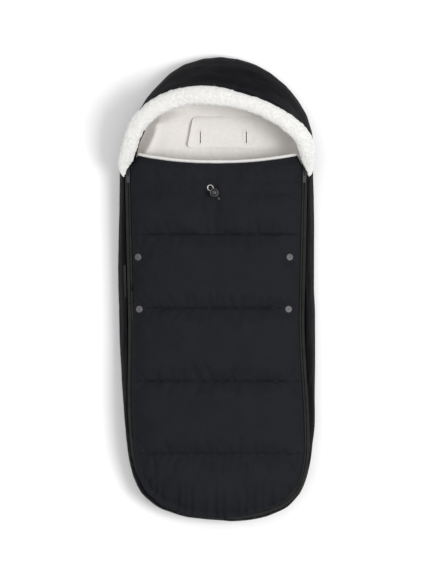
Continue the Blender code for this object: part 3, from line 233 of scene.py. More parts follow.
# Lamps: name, energy, size and the way they stand; the floor's half length and its drop under the back
LAMPS = (("key", 157, 1.9, (0.54, -0.10, 1.00)), ("fill", 44, 3.0, (-0.5, 0.3, 1.6)))
LAMP_DISTANCE = 5
SKY_STRENGTH = 0.74
FLOOR_TONE = (0.86, 0.86, 0.86)
FLOOR_HALF = 6
FLOOR_DROP = 0.0004

# Size of the squares that each padded skin is made of
TUB_GRID = 0.0048
HOOD_GRID = 0.0042
CUFF_GRID = 0.0036
EDGE_ROLL_GRID = 0.0012
LINING_GRID = 0.0032
BACK_GRID = 0.0036
SLOT_PANEL_GRID = 0.0011

# Stuffing: the frames it swells for, and the furthest that a point moves
COVER_FILL = (22, 0.0055)
WALL_FILL = (14, 0.0030)
CUFF_FILL = (16, 0.0030)

# Rise of the casing over its cord, and the gathers across the quilting seams and along the foot hem
CASING_RISE = 0.0014
SEAM_STRENGTH = (0.35, 0.7, 1.0, 1.0)
GATHER_PITCH = 0.017
GATHER_REACH = 0.014
GATHER_SPREAD = 0.010
COVER_SLACK = 0.0010
GROOVE_DEPTH = 0.0013
GROOVE_WIDTH = 0.0016
HEM_PITCH = 0.021
HEM_START = 0.45

# Heights of the folds and creases in slack cloth
WALL_FOLDS = 0.0014
WALL_CREASES = 0.0005
SEAM_PULL = 0.0008
SEAM_PULL_REACH = 0.004
HOOD_HEIGHT = 0.14
HOOD_FOLDS = 0.0016
HOOD_CREASES = 0.0010
HOOD_CRINKLE = 0.0006
BACK_STEP = 0.014
PAD_STEP = 0.018
BACK_WAVE = 0.0004
LABEL_WAVE = 0.00025

# Pile: its depth, the size of its curls and, for the linings, the height of the folds under it
LINING_PILE = (0.0012, 0.006, 0.0036)
SLOT_PANEL_PILE = (0.0004, 0.006, 0.0)
CUFF_PILE = (0.0016, 0.0065)
ROLL_PILE = (0.0009, 0.0045)
ROLL_FULLNESS = 0.0010
CUFF_LUMPS = 0.0012

# Rounding of the edges of small parts
LABEL_EDGE = 0.0002
STOP_EDGE = 0.0006
SLIDER_EDGE = 0.00035

# Tufts' spread of sizes, the tape's ribs and the cord's strands, and how far they slant in degrees
TUFT_RANGE = (0.55, 1.25)
TAPE_RIB = 0.0011
TAPE_SLANT = 38
CORD_STRAND = 0.0008
CORD_SLANT = 50


def footmuff_sizes():
    return bpy.context.scene.footmuff_sizes


def footmuff_colours():
    return bpy.context.scene.footmuff_colours


def length_property(name, description, default, least, most):
    return FloatProperty(
        name=name, description=description, default=default, min=least, max=most,
        unit="LENGTH", subtype="DISTANCE",
    )


class FootmuffSizes(bpy.types.PropertyGroup):
    """Sizes of the padding, the pile, the thread and the zips"""

    cloth_excess: FloatProperty(
        name="Cloth Excess", description="Share of spare cloth in the quilted cover",
        default=0.022, min=0.0, max=0.1, subtype="FACTOR",
    )
    pad_pressure: FloatProperty(
        name="Pad Pressure", description="How hard the wadding pushes the cloth out",
        default=4.0, min=0.0, max=20.0,
    )
    pucker_depth: length_property(
        "Pucker Depth", "Depth of the gathers beside the quilting seams", 0.0019, 0.0, 0.005,
    )
    hem_fold_depth: length_property(
        "Hem Fold Depth", "Depth of the gathers along the foot hem", 0.0050, 0.0, 0.008,
    )
    tuft_size: length_property(
        "Tuft Size", "Radius of one tuft of the cuff's pile", 0.0011, 0.0003, 0.004,
    )
    tuft_density: FloatProperty(
        name="Tuft Density", description="Tufts on a square metre of the cuff",
        default=90000.0, min=0.0, max=200000.0,
    )
    stitch_pitch: length_property(
        "Stitch Pitch", "Distance from one stitch to the next", 0.0042, 0.001, 0.01,
    )
    stitch_length: length_property(
        "Stitch Length", "Length of thread that shows in one stitch", 0.0032, 0.001, 0.01,
    )
    thread_radius: length_property(
        "Thread Radius", "Half the thickness of the sewing thread", 0.00028, 0.0001, 0.001,
    )
    tooth_pitch: length_property(
        "Tooth Pitch", "Distance from one tooth of a zip to the next", 0.0018, 0.001, 0.004,
    )
    seed: IntProperty(
        name="Seed", description="Picks one scatter of the tufts and stitches",
        default=7, min=0,
    )


def colour_property(name, description, default):
    return FloatVectorProperty(
        name=name, description=description, default=default, size=3, min=0.0, max=1.0, subtype="COLOR",
    )


class FootmuffColours(bpy.types.PropertyGroup):
    """Colours of the cloth, the fleece and the fasteners"""

    cover: colour_property("Cover", "Quilted cover cloth", (0.0100, 0.0105, 0.0130))
    shell: colour_property("Shell", "Hood and wall cloth", (0.0030, 0.0030, 0.0045))
    fleece: colour_property("Fleece", "Lining fleece", (0.73, 0.705, 0.68))
    cuff: colour_property("Cuff", "Fleece of the cuff and the flap's edge", (0.665, 0.66, 0.645))
    tape: colour_property("Zip Tape", "Woven tape of the zips", (0.0168, 0.0176, 0.0162))
    plastic: colour_property("Plastic", "Pull tabs and the studs' inner caps", (0.0105, 0.0105, 0.0120))
    nickel: colour_property("Nickel", "Eyelet", (0.31, 0.310, 0.300))
    thread: colour_property("Thread", "Sewing thread of the dark cloth", (0.0180, 0.0185, 0.0220))
    label: colour_property("Label", "Bare woven label", (0.013, 0.013, 0.015))


# Materials


def feed(tree, node, values):
    """Sets a node's inputs to plain values, or links them to the outputs of other nodes."""
    for key, value in values.items():
        socket = node.inputs[key]
        if isinstance(value, bpy.types.NodeSocket):
            tree.links.new(value, socket)
        else:
            socket.default_value = value


def add_node(tree, kind, values=None, **settings):
    node = tree.nodes.new(kind)
    for key, value in settings.items():
        setattr(node, key, value)
    feed(tree, node, values or {})
    return node


def finish(name):
    return bpy.data.materials[LOOK_PREFIX + name]


def start_material(name):
    """An empty material's tree, its shader and the piece's own coordinates."""
    look = bpy.data.materials.new(LOOK_PREFIX + name)
    look.use_nodes = True
    tree = look.node_tree
    tree.nodes.clear()
    shader = add_node(tree, "ShaderNodeBsdfPrincipled")
    output = add_node(tree, "ShaderNodeOutputMaterial")
    tree.links.new(shader.outputs["BSDF"], output.inputs["Surface"])
    coordinates = add_node(tree, "ShaderNodeTexCoord").outputs["Object"]
    return tree, shader, coordinates


def noise_value(tree, coordinates, scale, detail=3.0, roughness=0.55):
    values = {"Vector": coordinates, "Scale": scale, "Detail": detail, "Roughness": roughness}
    return add_node(tree, "ShaderNodeTexNoise", values).outputs["Fac"]


def maths(tree, operation, first, second=0.0):
    node = add_node(tree, "ShaderNodeMath", {0: first, 1: second}, operation=operation)
    return node.outputs[0]


def shade_between(tree, factor, colour, low, high):
    """The colour made darker or lighter by a pattern that runs from 0 to 1."""
    ramp = add_node(tree, "ShaderNodeValToRGB", {"Fac": factor})
    first, last = ramp.color_ramp.elements
    first.position, last.position = 0.3, 0.7
    first.color = (*[c * low for c in colour], 1)
    last.color = (*[min(c * high, 1) for c in colour], 1)
    return ramp.outputs["Color"]


def range_between(tree, value, low, high):
    node = add_node(tree, "ShaderNodeMapRange", {"Value": value, "To Min": low, "To Max": high})
    return node.outputs["Result"]


def bump(tree, height, strength, distance, normal=None):
    values = {"Height": height, "Strength": strength, "Distance": distance}
    if normal is not None:
        values["Normal"] = normal
    return add_node(tree, "ShaderNodeBump", values).outputs["Normal"]


def turned_coordinates(tree, coordinates, degrees):
    values = {"Vector": coordinates, "Rotation": (0, 0, math.radians(degrees))}
    return add_node(tree, "ShaderNodeMapping", values).outputs["Vector"]


def bands(tree, coordinates, pitch, axis="X", **more):
    """Dark and light bands that lie across one axis."""
    values = {"Vector": coordinates, "Scale": math.tau / (20 * pitch)}
    values.update({key.replace("_", " ").title(): value for key, value in more.items()})
    wave = add_node(tree, "ShaderNodeTexWave", values, wave_type="BANDS", bands_direction=axis)
    return wave.outputs["Fac"]


def weave(tree, coordinates, pitch):
    """Threads that cross each other at right angles, on faces turned any way."""
    threads = None
    for axis in "XYZ":
        value = bands(tree, coordinates, pitch, axis, distortion=0.6, detail=1.0, detail_scale=3.0)
        threads = value if threads is None else maths(tree, "ADD", threads, value)
    return maths(tree, "MULTIPLY", threads, 1 / 3)


def cloth_material(name, colour, pitch, roughness, crinkle, sheen):
    """Woven cloth with paler patches and fine creases."""
    tree, shader, coordinates = start_material(name)
    patches = noise_value(tree, coordinates, 22, 4)
    flecks = noise_value(tree, coordinates, 650, 2)
    both = maths(tree, "MULTIPLY", maths(tree, "ADD", patches, flecks), 0.5)
    creases = bump(tree, noise_value(tree, coordinates, 95, 5, 0.6), crinkle, 0.0020)
    feed(tree, shader, {
        "Base Color": shade_between(tree, both, colour, 0.80, 1.25),
        "Roughness": range_between(tree, patches, roughness - 0.08, roughness + 0.10),
        "Normal": bump(tree, weave(tree, coordinates, pitch), 0.45, pitch * 0.35, creases),
        "Sheen Weight": sheen, "Sheen Roughness": 0.45, "Specular IOR Level": 0.05,
    })


def fleece_material(name, colour, curl, depth):
    """Looped pile with its curls, a soft sheen and slightly darker hollows."""
    tree, shader, coordinates = start_material(name)
    values = {"Vector": coordinates, "Scale": 1 / curl, "Randomness": 1.0}
    curls = add_node(tree, "ShaderNodeTexVoronoi", values, feature="SMOOTH_F1").outputs["Distance"]
    locks = noise_value(tree, coordinates, 0.45 / curl, 5, 0.65)
    hairs = noise_value(tree, coordinates, 4.5 / curl, 3, 0.7)
    # Painted shade: the tone follows the locks and hairs that also raise the bump, so the low spots come out
    # darker
    mixed = maths(tree, "MULTIPLY", maths(tree, "ADD", locks, hairs), 0.5)
    normal = bump(tree, locks, 0.7, depth)
    normal = bump(tree, maths(tree, "SUBTRACT", 1.0, curls), 0.45, depth * 0.6, normal)
    feed(tree, shader, {
        "Base Color": shade_between(tree, mixed, colour, 0.93, 1.04),
        "Roughness": range_between(tree, hairs, 0.85, 1.0),
        "Normal": bump(tree, hairs, 0.5, depth * 0.25, normal),
        "Sheen Weight": 0.10, "Sheen Roughness": 0.6, "Specular IOR Level": 0.10,
    })


def tape_material(name, colour):
    """Twill tape with slanting ribs, dark where its sewn edge lies in the seam."""
    tree, shader, coordinates = start_material(name)
    ribs = bands(tree, turned_coordinates(tree, coordinates, TAPE_SLANT), TAPE_RIB, distortion=0.4)
    patches = noise_value(tree, coordinates, 60, 4)
    # Painted shade: the tone drops to a twentieth where the cover's edge overhangs the tape
    edge = add_node(tree, "ShaderNodeAttribute", attribute_name="sewn_edge").outputs["Fac"]
    tone = shade_between(tree, patches, colour, 0.82, 1.25)
    values = {0: tone, "Scale": range_between(tree, edge, 1.0, 0.05)}
    feed(tree, shader, {
        "Base Color": add_node(tree, "ShaderNodeVectorMath", values, operation="SCALE").outputs["Vector"],
        "Roughness": range_between(tree, ribs, 0.55, 0.75),
        "Normal": bump(tree, patches, 0.3, 0.0008, bump(tree, ribs, 0.6, 0.00025)),
        "Sheen Weight": 0.05, "Specular IOR Level": 0.06,
    })


def moulded_material(name, colour, roughness, metallic=0.0, grain=0.00006):
    """Moulded plastic or plated metal with a fine grain and rubbed patches."""
    tree, shader, coordinates = start_material(name)
    rubs = noise_value(tree, coordinates, 180, 4)
    feed(tree, shader, {
        "Base Color": shade_between(tree, rubs, colour, 0.88, 1.12),
        "Roughness": range_between(tree, rubs, roughness - 0.07, roughness + 0.10),
        "Normal": bump(tree, noise_value(tree, coordinates, 1800, 3), 0.35, grain),
        "Metallic": metallic,
    })


def cord_material(name, colour):
    """Braided elastic: two sets of strands that cross."""
    tree, shader, coordinates = start_material(name)
    turns = [turned_coordinates(tree, coordinates, slant) for slant in (-CORD_SLANT, CORD_SLANT)]
    strands = maths(tree, "MAXIMUM", *[bands(tree, turned, CORD_STRAND) for turned in turns])
    # Painted light and shade: the strands' bands set the tone, paler on their tops and darker in the grooves
    feed(tree, shader, {
        "Base Color": shade_between(tree, strands, colour, 0.7, 1.3),
        "Roughness": range_between(tree, strands, 0.8, 0.6),
        "Normal": bump(tree, strands, 0.7, 0.0003),
    })


def make_materials():
    tone = footmuff_colours()
    cloth_material("cover_fabric", tone.cover, 0.0007, 0.62, 0.50, 0.01)
    cloth_material("shell_fabric", tone.shell, 0.0008, 0.66, 0.50, 0.01)
    cloth_material("thread", tone.thread, 0.0003, 0.6, 0.1, 0.02)
    cloth_material("label", tone.label, 0.0005, 0.6, 0.1, 0.02)
    fleece_material("wadding", (0.80, 0.80, 0.78), 0.0060, 0.0008)
    fleece_material("fleece", tone.fleece, 0.0045, 0.0011)
    fleece_material("cuff_fleece", tone.cuff, 0.0040, 0.0012)
    fleece_material("fleece_thread", tone.fleece, 0.0020, 0.0001)
    tape_material("zip_tape", tone.tape)
    moulded_material("zip_coil", (0.0210, 0.0215, 0.0200), 0.50)
    moulded_material("zip_metal", (0.0150, 0.0150, 0.0160), 0.34, 0.8)
    moulded_material("black_plastic", tone.plastic, 0.55)
    moulded_material("cord_tip", (0.085, 0.085, 0.088), 0.35)
    moulded_material("stud_cap", (0.078, 0.078, 0.082), 0.50, 0.35)
    moulded_material("lock_plastic", (0.015, 0.015, 0.0155), 0.36)
    moulded_material("nickel", tone.nickel, 0.24, 1.0, 0.00002)
    moulded_material("spring_steel", (0.55, 0.55, 0.56), 0.28, 1.0, 0.00002)
    cord_material("cord", (0.016, 0.016, 0.018))


# Meshes


def read_all(items, key, width=3, kind=np.float32):
    """One row of values for each point, edge or normal of a mesh."""
    values = np.empty(len(items) * width, kind)
    items.foreach_get(key, values)
    return values.reshape(-1, width)


def node_arrays(*names):
    """Points and edges of some CAD nodes."""
    points, edges, start = [], [], 0
    for name in names:
        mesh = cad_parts[name].data
        points.append(read_all(mesh.vertices, "co").astype(float))
        edges.append(read_all(mesh.edges, "vertices", 2, np.int32) + start)
        start += len(mesh.vertices)
    return np.vstack(points), np.vstack(edges)


def chord(points, edges, level):
    """Lowest and highest x where the edges cross a level of y."""
    a, b = points[edges[:, 0]], points[edges[:, 1]]
    da, db = a[:, 1] - level, b[:, 1] - level
    crossing = da * db < 0
    if not crossing.any():
        return None
    share = da[crossing] / (da[crossing] - db[crossing])
    x = a[crossing, 0] + share * (b[crossing, 0] - a[crossing, 0])
    return x.min(), x.max()


def add_object(name, data):
    item = bpy.data.objects.new(name, data)
    bpy.context.scene.collection.objects.link(item)
    return item


def paint(mesh, look):
    mesh.materials.clear()
    mesh.materials.append(finish(look))


def add_piece(name, mesh, look):
    paint(mesh, look)
    return add_object(name, mesh)


def mesh_from(bm, name, sharp=40):
    mesh = bpy.data.meshes.new(name)
    bm.to_mesh(mesh)
    bm.free()
    mesh.shade_smooth()
    mesh.set_sharp_from_angle(angle=math.radians(sharp))
    return mesh


def node_bmesh(*names):
    """The nodes' meshes in one, with their loose triangles joined up."""
    bm = bmesh.new()
    for name in names:
        bm.from_mesh(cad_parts[name].data)
    bmesh.ops.remove_doubles(bm, verts=bm.verts, dist=0.00001)
    return bm


def applied(item):
    """Turns an object with modifiers into its plain result."""
    graph = bpy.context.evaluated_depsgraph_get()
    result = bpy.data.meshes.new_from_object(item.evaluated_get(graph), depsgraph=graph)
    old = item.data
    item.modifiers.clear()
    item.data = result
    bpy.data.meshes.remove(old)
    result.name = item.name
    return item


def remeshed(name, nodes, voxel, look):
    """One even skin round the nodes."""
    item = add_piece(name, mesh_from(node_bmesh(*nodes), name), look)
    change = item.modifiers.new("skin", "REMESH")
    change.mode = "VOXEL"
    change.voxel_size = voxel
    change.use_smooth_shade = True
    applied(item)
    paint(item.data, look)
    return item


def get_points(item):
    return read_all(item.data.vertices, "co").astype(float)


def set_points(item, points):
    item.data.vertices.foreach_set("co", points.astype(np.float32).ravel())
    item.data.update()


def get_normals(item):
    return read_all(item.data.vertex_normals, "vector").astype(float)


def push_out(item, amount):
    """Moves every point along its normal by what amount says for that point."""
    points = get_points(item)
    normals = get_normals(item)
    lengths = np.array([amount(Vector(p), Vector(n)) for p, n in zip(points, normals)])
    set_points(item, points + normals * lengths[:, None])


def read_table(table, value):
    return float(np.interp(value, [row[0] for row in table], [row[1] for row in table]))


def bearing(spot, middle, facing=1):
    """Degrees round a middle from the head end (from the foot with facing -1), and the way outwards."""
    away = Vector((spot[0] - middle[0], spot[1] - middle[1], 0))
    return math.degrees(math.atan2(away.x, facing * away.y)), away.normalized()


def uneven(x, y, z=0.0):
    return noise.noise(Vector((x, y, z)))


def rough(spot, scale, octaves=2):
    """Smooth uneven value from about -1 to 1."""
    total, size = 0.0, 1.0
    for octave in range(octaves):
        total += size * noise.noise(spot * (scale * 2**octave))
        size *= 0.5
    return total


def subdivided(item, levels=1, kind="CATMULL_CLARK"):
    change = item.modifiers.new("smooth", "SUBSURF")
    change.subdivision_type = kind
    change.levels = levels
    change.render_levels = levels
    return applied(item)


def plump(item, frames, cap, pins=None, excess=0.0, open_sheet=False):
    """Fills the piece out as stuffed cloth, with no point moved further than cap."""
    scene = bpy.context.scene
    change = item.modifiers.new("cloth", "CLOTH")
    cloth = change.settings
    cloth.quality = 4
    cloth.mass = 0.3
    cloth.tension_stiffness = 15
    cloth.compression_stiffness = 15
    cloth.shear_stiffness = 8
    cloth.bending_stiffness = 0.6
    cloth.effector_weights.gravity = 0
    cloth.use_pressure = True
    cloth.uniform_pressure_force = footmuff_sizes().pad_pressure
    cloth.shrink_min = -excess
    if open_sheet:
        cloth.use_pressure_volume = True
        cloth.target_volume = 0
    if pins is not None:
        group = item.vertex_groups.new(name="held")
        for index, weight in pins.items():
            group.add([index], weight, "REPLACE")
        cloth.vertex_group_mass = "held"
    change.point_cache.frame_start = 1
    change.point_cache.frame_end = frames
    before = get_points(item)
    for step in range(1, frames + 1):
        scene.frame_set(step)
    graph = bpy.context.evaluated_depsgraph_get()
    after = read_all(item.evaluated_get(graph).data.vertices, "co")
    item.modifiers.clear()
    item.vertex_groups.clear()
    scene.frame_set(1)
    move = after - before
    length = np.linalg.norm(move, axis=1)
    move *= np.minimum(1, cap / np.maximum(length, 1e-9))[:, None]
    set_points(item, before + move)


def grid_faces(rows, columns, start=0, flip=False):
    faces = []
    for row in range(rows - 1):
        for column in range(columns - 1):
            a = start + row * columns + column
            face = (a, a + columns, a + columns + 1, a + 1)
            faces.append(face[::-1] if flip else face)
    return faces


def rim_order(rows, columns):
    """Indices of the points round the edge of a grid."""
    order = list(range(columns))
    order += [row * columns + columns - 1 for row in range(1, rows)]
    order += [(rows - 1) * columns + column for column in range(columns - 2, -1, -1)]
    order += [row * columns for row in range(rows - 2, 0, -1)]
    return order


def closed_slab(name, top, bottom, look, rings=()):
    """A closed piece from its top and underside grids, with rings of points between their rims."""
    rows, columns = top.shape[:2]
    count = rows * columns
    faces = grid_faces(rows, columns) + grid_faces(rows, columns, count, True)
    rim = rim_order(rows, columns)
    levels = [rim]
    for turn in range(len(rings)):
        first = 2 * count + turn * len(rim)
        levels.append(list(range(first, first + len(rim))))
    levels.append([index + count for index in rim])
    for upper, lower in zip(levels, levels[1:]):
        for k in range(len(rim)):
            after = (k + 1) % len(rim)
            faces.append((upper[k], upper[after], lower[after], lower[k]))
    points = np.vstack((top.reshape(-1, 3), bottom.reshape(-1, 3), *rings))
    mesh = bpy.data.meshes.new(name)
    mesh.from_pydata(points.tolist(), [], faces)
    bm = bmesh.new()
    bm.from_mesh(mesh)
    bpy.data.meshes.remove(mesh)
    bmesh.ops.recalc_face_normals(bm, faces=bm.faces)
    return add_piece(name, mesh_from(bm, name, 60), look)


def turned_piece(name, profile, segments, look, spot, tilt=None, closed=False):
    """A turned piece from (radius, height) points, put in place in its mesh."""
    bm = bmesh.new()
    verts = [bm.verts.new((r, 0, z)) for r, z in profile]
    edges = [bm.edges.new(pair) for pair in zip(verts, verts[1:])]
    if closed:
        edges.append(bm.edges.new((verts[-1], verts[0])))
    bmesh.ops.spin(
        bm, geom=verts + edges, axis=(0, 0, 1), cent=(0, 0, 0), angle=math.tau, steps=segments,
        use_merge=True,
    )
    bmesh.ops.remove_doubles(bm, verts=bm.verts, dist=0.000002)
    bmesh.ops.recalc_face_normals(bm, faces=bm.faces)
    if bm.calc_volume(signed=True) < 0:
        bmesh.ops.reverse_faces(bm, faces=bm.faces)
    place = Matrix.Translation(Vector(spot))
    if tilt is not None:
        place = place @ tilt.to_matrix().to_4x4()
    bmesh.ops.transform(bm, matrix=place, verts=bm.verts)
    return add_piece(name, mesh_from(bm, name, 50), look)


def swept_piece(name, rings, look, sharp=50):
    """A closed piece through rings of points."""
    bm = bmesh.new()
    made = [[bm.verts.new(point) for point in ring] for ring in rings]
    sides = len(made[0])
    for first, second in zip(made, made[1:]):
        for side in range(sides):
            after = (side + 1) % sides
            bm.faces.new((first[side], first[after], second[after], second[side]))
    bm.faces.new(made[0][::-1])
    bm.faces.new(made[-1])
    bmesh.ops.recalc_face_normals(bm, faces=bm.faces)
    return add_piece(name, mesh_from(bm, name, sharp), look)


def tube_rings(route, radius, sides):
    """Round rings along a route of points that never runs straight up for long."""
    points = [Vector(point) for point in route]
    rings = []
    side = None
    for i, point in enumerate(points):
        ahead = points[min(i + 1, len(points) - 1)] - points[max(i - 1, 0)]
        ahead.normalize()
        if side is None:
            side = ahead.orthogonal().normalized()
        side = (side - ahead * side.dot(ahead)).normalized()
        other = ahead.cross(side)
        size = radius[i] if hasattr(radius, "__len__") else radius
        ring = []
        for k in range(sides):
            angle = math.tau * k / sides
            ring.append(point + side * (size * math.cos(angle)) + other * (size * math.sin(angle)))
        rings.append(ring)
    return rings


def dress(item, body, slot, nodes=()):
    """Puts a finished piece on its body and says what it stands for."""
    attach(item, body)
    if nodes:
        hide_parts(*nodes)
    return item


# Geometry node trees


def start_tree(name, inputs):
    tree = bpy.data.node_groups.new(name, "GeometryNodeTree")
    tree.interface.new_socket("Geometry", in_out="INPUT", socket_type="NodeSocketGeometry")
    for label, kind in inputs:
        tree.interface.new_socket(label, in_out="INPUT", socket_type=kind)
    tree.interface.new_socket("Geometry", in_out="OUTPUT", socket_type="NodeSocketGeometry")
    return tree, add_node(tree, "NodeGroupInput"), add_node(tree, "NodeGroupOutput")


def end_tree(tree, start, end, instances):
    real = add_node(tree, "GeometryNodeRealizeInstances", {"Geometry": instances})
    smooth = add_node(tree, "GeometryNodeSetShadeSmooth", {"Geometry": real.outputs["Geometry"]})
    painted = add_node(
        tree, "GeometryNodeSetMaterial",
        {"Geometry": smooth.outputs["Geometry"], "Material": start.outputs["Finish"]},
    )
    tree.links.new(painted.outputs["Geometry"], end.inputs["Geometry"])
    return tree


def tuft_tree():
    """Small round tufts scattered over a surface."""
    inputs = (
        ("Density", "NodeSocketFloat"), ("Tuft Radius", "NodeSocketFloat"),
        ("Seed", "NodeSocketInt"), ("Finish", "NodeSocketMaterial"),
    )
    tree, start, end = start_tree("fleece tufts", inputs)
    spread = add_node(
        tree, "GeometryNodeDistributePointsOnFaces",
        {"Mesh": start.outputs["Geometry"], "Density": start.outputs["Density"],
         "Seed": start.outputs["Seed"]},
    )
    ball = add_node(tree, "GeometryNodeMeshIcoSphere", {"Radius": 1.0, "Subdivisions": 1})
    low, high = [maths(tree, "MULTIPLY", start.outputs["Tuft Radius"], share) for share in TUFT_RANGE]
    values = {"Seed": start.outputs["Seed"], 2: low, 3: high}
    size = add_node(tree, "FunctionNodeRandomValue", values, data_type="FLOAT")
    placed = add_node(
        tree, "GeometryNodeInstanceOnPoints",
        {"Points": spread.outputs["Points"], "Instance": ball.outputs["Mesh"],
         "Rotation": spread.outputs["Rotation"], "Scale": size.outputs[1]},
    )
    return end_tree(tree, start, end, placed.outputs["Instances"])


def row_tree():
    """Grains set end to end or side by side along a path, for stitches and zip teeth."""
    inputs = (
        ("Pitch", "NodeSocketFloat"), ("Half Size", "NodeSocketVector"), ("Finish", "NodeSocketMaterial"),
    )
    tree, start, end = start_tree("row along a path", inputs)
    curve = add_node(tree, "GeometryNodeMeshToCurve", {"Mesh": start.outputs["Geometry"]})
    points = add_node(
        tree, "GeometryNodeCurveToPoints",
        {"Curve": curve.outputs["Curve"], "Length": start.outputs["Pitch"]}, mode="LENGTH",
    )
    values = {"Vector": points.outputs["Tangent"]}
    turn = add_node(tree, "FunctionNodeAlignRotationToVector", values, axis="X")
    grain = add_node(tree, "GeometryNodeMeshUVSphere", {"Segments": 6, "Rings": 4, "Radius": 1.0})
    placed = add_node(
        tree, "GeometryNodeInstanceOnPoints",
        {"Points": points.outputs["Points"], "Instance": grain.outputs["Mesh"],
         "Rotation": turn.outputs["Rotation"], "Scale": start.outputs["Half Size"]},
    )
    return end_tree(tree, start, end, placed.outputs["Instances"])


def run_tree(item, tree, values):
    """Runs a node tree on the piece with its inputs named, and keeps the plain mesh."""
    change = item.modifiers.new(tree.name, "NODES")
    change.node_group = tree
    sockets = {s.name: s.identifier for s in tree.interface.items_tree if s.in_out == "INPUT"}
    for label, value in values.items():
        change[sockets[label]] = value
    applied(item)
    return item


def path_piece(name, routes, tree, pitch, half_size, look):
    """A row of grains along each route of points."""
    mesh = bpy.data.meshes.new(name)
    points, edges = [], []
    for route in routes:
        start = len(points)
        points += [tuple(point) for point in route]
        edges += [(start + i, start + i + 1) for i in range(len(route) - 1)]
    mesh.from_pydata(points, edges, [])
    item = add_object(name, mesh)
    values = {"Pitch": pitch, "Half Size": half_size, "Finish": finish(look)}
    return run_tree(item, tree, values)


# The cover's plan and heights


def lap_over(spot):
    """How far the cover's edge laps over the zip beside a spot."""
    if spot[1] < FOOT_MIDDLE[1]:
        return read_table(FOOT_LAP, bearing(spot, FOOT_MIDDLE, -1)[0])
    return read_table(LEFT_LAP if spot[0] < 0 else RIGHT_LAP, spot[1])


def lapped_rings(rim, hem_points):
    """Rings that take the cover's edge out over the zip and back underneath."""
    along = np.roll(rim, -1, axis=0) - np.roll(rim, 1, axis=0)
    out = np.stack((along[:, 1], -along[:, 0], 0 * along[:, 0]), axis=1)
    out /= np.linalg.norm(out, axis=1)[:, None]
    middle = rim.mean(axis=0)
    out *= np.sign((out * (rim - middle)).sum(axis=1))[:, None]
    reach = np.array([HEM_LAP if k < hem_points else lap_over(point) for k, point in enumerate(rim)])
    reach = (np.roll(reach, 1) + 2 * reach + np.roll(reach, -1)) / 4
    top = np.maximum(rim[:, 2], LAP_UNDER + 0.0005)
    rings = []
    for share, height in ((0.35, 1.0), (0.75, 0.85), (1.0, 0.45), (0.92, 0.12), (0.0, 0.0)):
        ring = rim + out * (reach * share)[:, None]
        ring[:, 2] = LAP_UNDER + height * (top - LAP_UNDER)
        rings.append(ring)
    return rings


# Rows of the cover's grid beside a seam and between the seams, and how its rows and columns crowd
SEAM_ROWS = (-0.0045, -0.0022, -0.001, 0, 0.001, 0.0022, 0.0045)
FIRST_ROW = 0.004
ROW_STEP = 0.0042
ROW_GAP = 0.0025
FOOT_CROWD = 1.15
COLUMNS = 97
COLUMN_CROWD = 1.12


class CoverPlan:
    """Where the quilted cover lies, over its rows and its shares across."""

    def __init__(self):
        points, edges = node_arrays("flap_fabric", "cover_fabric")
        low, high = points[:, 1].min(), points[:, 1].max()
        levels = np.linspace(low + 0.00005, high - 0.00005, 500)
        found = [(level, chord(points, edges, level)) for level in levels]
        found = [(level, ends) for level, ends in found if ends is not None]
        self.levels = np.array([level for level, _ in found])
        ends = np.array([pair for _, pair in found])
        self.mids = ends.mean(axis=1)
        self.halves = np.ptp(ends, axis=1) / 2
        self.corner_y = high
        self.foot = self.levels < FOOT_CORNER_Y
        self.foot_half = self.half(FOOT_CORNER_Y)

    def half(self, y):
        return float(np.interp(y, self.levels, self.halves))

    def middle(self, y):
        return float(np.interp(y, self.levels, self.mids))

    def flap_edge(self, share):
        return self.corner_y - FLAP_DIP * (1 - abs(share) ** FLAP_EDGE_POWER)

    def foot_edge(self, share):
        across = abs(share) * self.foot_half
        return float(np.interp(across, self.halves[self.foot], self.levels[self.foot]))

    def spot(self, share, side_y, blend):
        x, y = share * self.half(side_y), side_y
        if blend > 0 and side_y > 0:
            y = CASING[1] + blend * (self.flap_edge(share) - CASING[1])
        elif blend > 0:
            y = SEAMS[-1] + blend * (self.foot_edge(share) - SEAMS[-1])
        return x + self.middle(y), y

    def rows(self):
        """(y at the sides, blend to the free edge) from the flap's edge to the foot hem."""
        rows = []
        for blend in np.linspace(1, 0, 10)[:-1]:
            rows.append((CASING[1] + blend * (self.corner_y - CASING[1]), blend))
        level = {CASING[1], CASING[0], SEAMS[-1]}
        for seam in (*SEAMS, *CASING):
            level.update(round(seam + step, 5) for step in SEAM_ROWS)
        for y in np.arange(CASING[1] - FIRST_ROW, SEAMS[-1], -ROW_STEP):
            if min(abs(y - other) for other in level) > ROW_GAP:
                level.add(float(y))
        inside = [y for y in level if SEAMS[-1] <= y <= CASING[1]]
        rows += [(y, 0.0) for y in sorted(inside, reverse=True)]
        foot_steps = np.linspace(0, 1, 30)[1:]
        for blend in 1 - (1 - foot_steps) ** FOOT_CROWD:
            rows.append((SEAMS[-1] + blend * (FOOT_CORNER_Y - SEAMS[-1]), blend))
        return rows

    def fullness(self, row):
        """How much of its height the cover keeps as it runs down to the foot hem."""
        side_y, blend = row
        return 1 - blend**2.5 if side_y < 0 else 1.0

    def crown(self, share, row):
        return (1 - abs(share) ** 3) * self.fullness(row)

    def puff(self, share, row):
        reach = min(abs(row[0] - seam) for seam in SEAMS)
        rise = math.sqrt(1 - (1 - min(reach / PUFF_REACH, 1.0)) ** 2)
        return rise * (1 - share**4) * self.fullness(row)

    def top(self, share, row, y):
        side_y, blend = row
        edge = (1 - abs(share)) * self.half(side_y)
        if side_y < 0 and blend > 0:
            edge = min(edge, abs(y - self.foot_edge(share)))
        spot = (share * self.half(side_y) + self.middle(side_y), y)
        hold = min(1.0, lap_over(spot) / LAP_HOLD)
        roll = EDGE_ROLL * (1 - (1 - hold) * math.exp(-edge / EDGE_ROLL_REACH))
        return EDGE_HEIGHT + CROWN * self.crown(share, row) + PUFF * self.puff(share, row) + roll

    def low(self, share, row):
        return LOW_EDGE_HEIGHT + LOW_CROWN * self.crown(share, row)


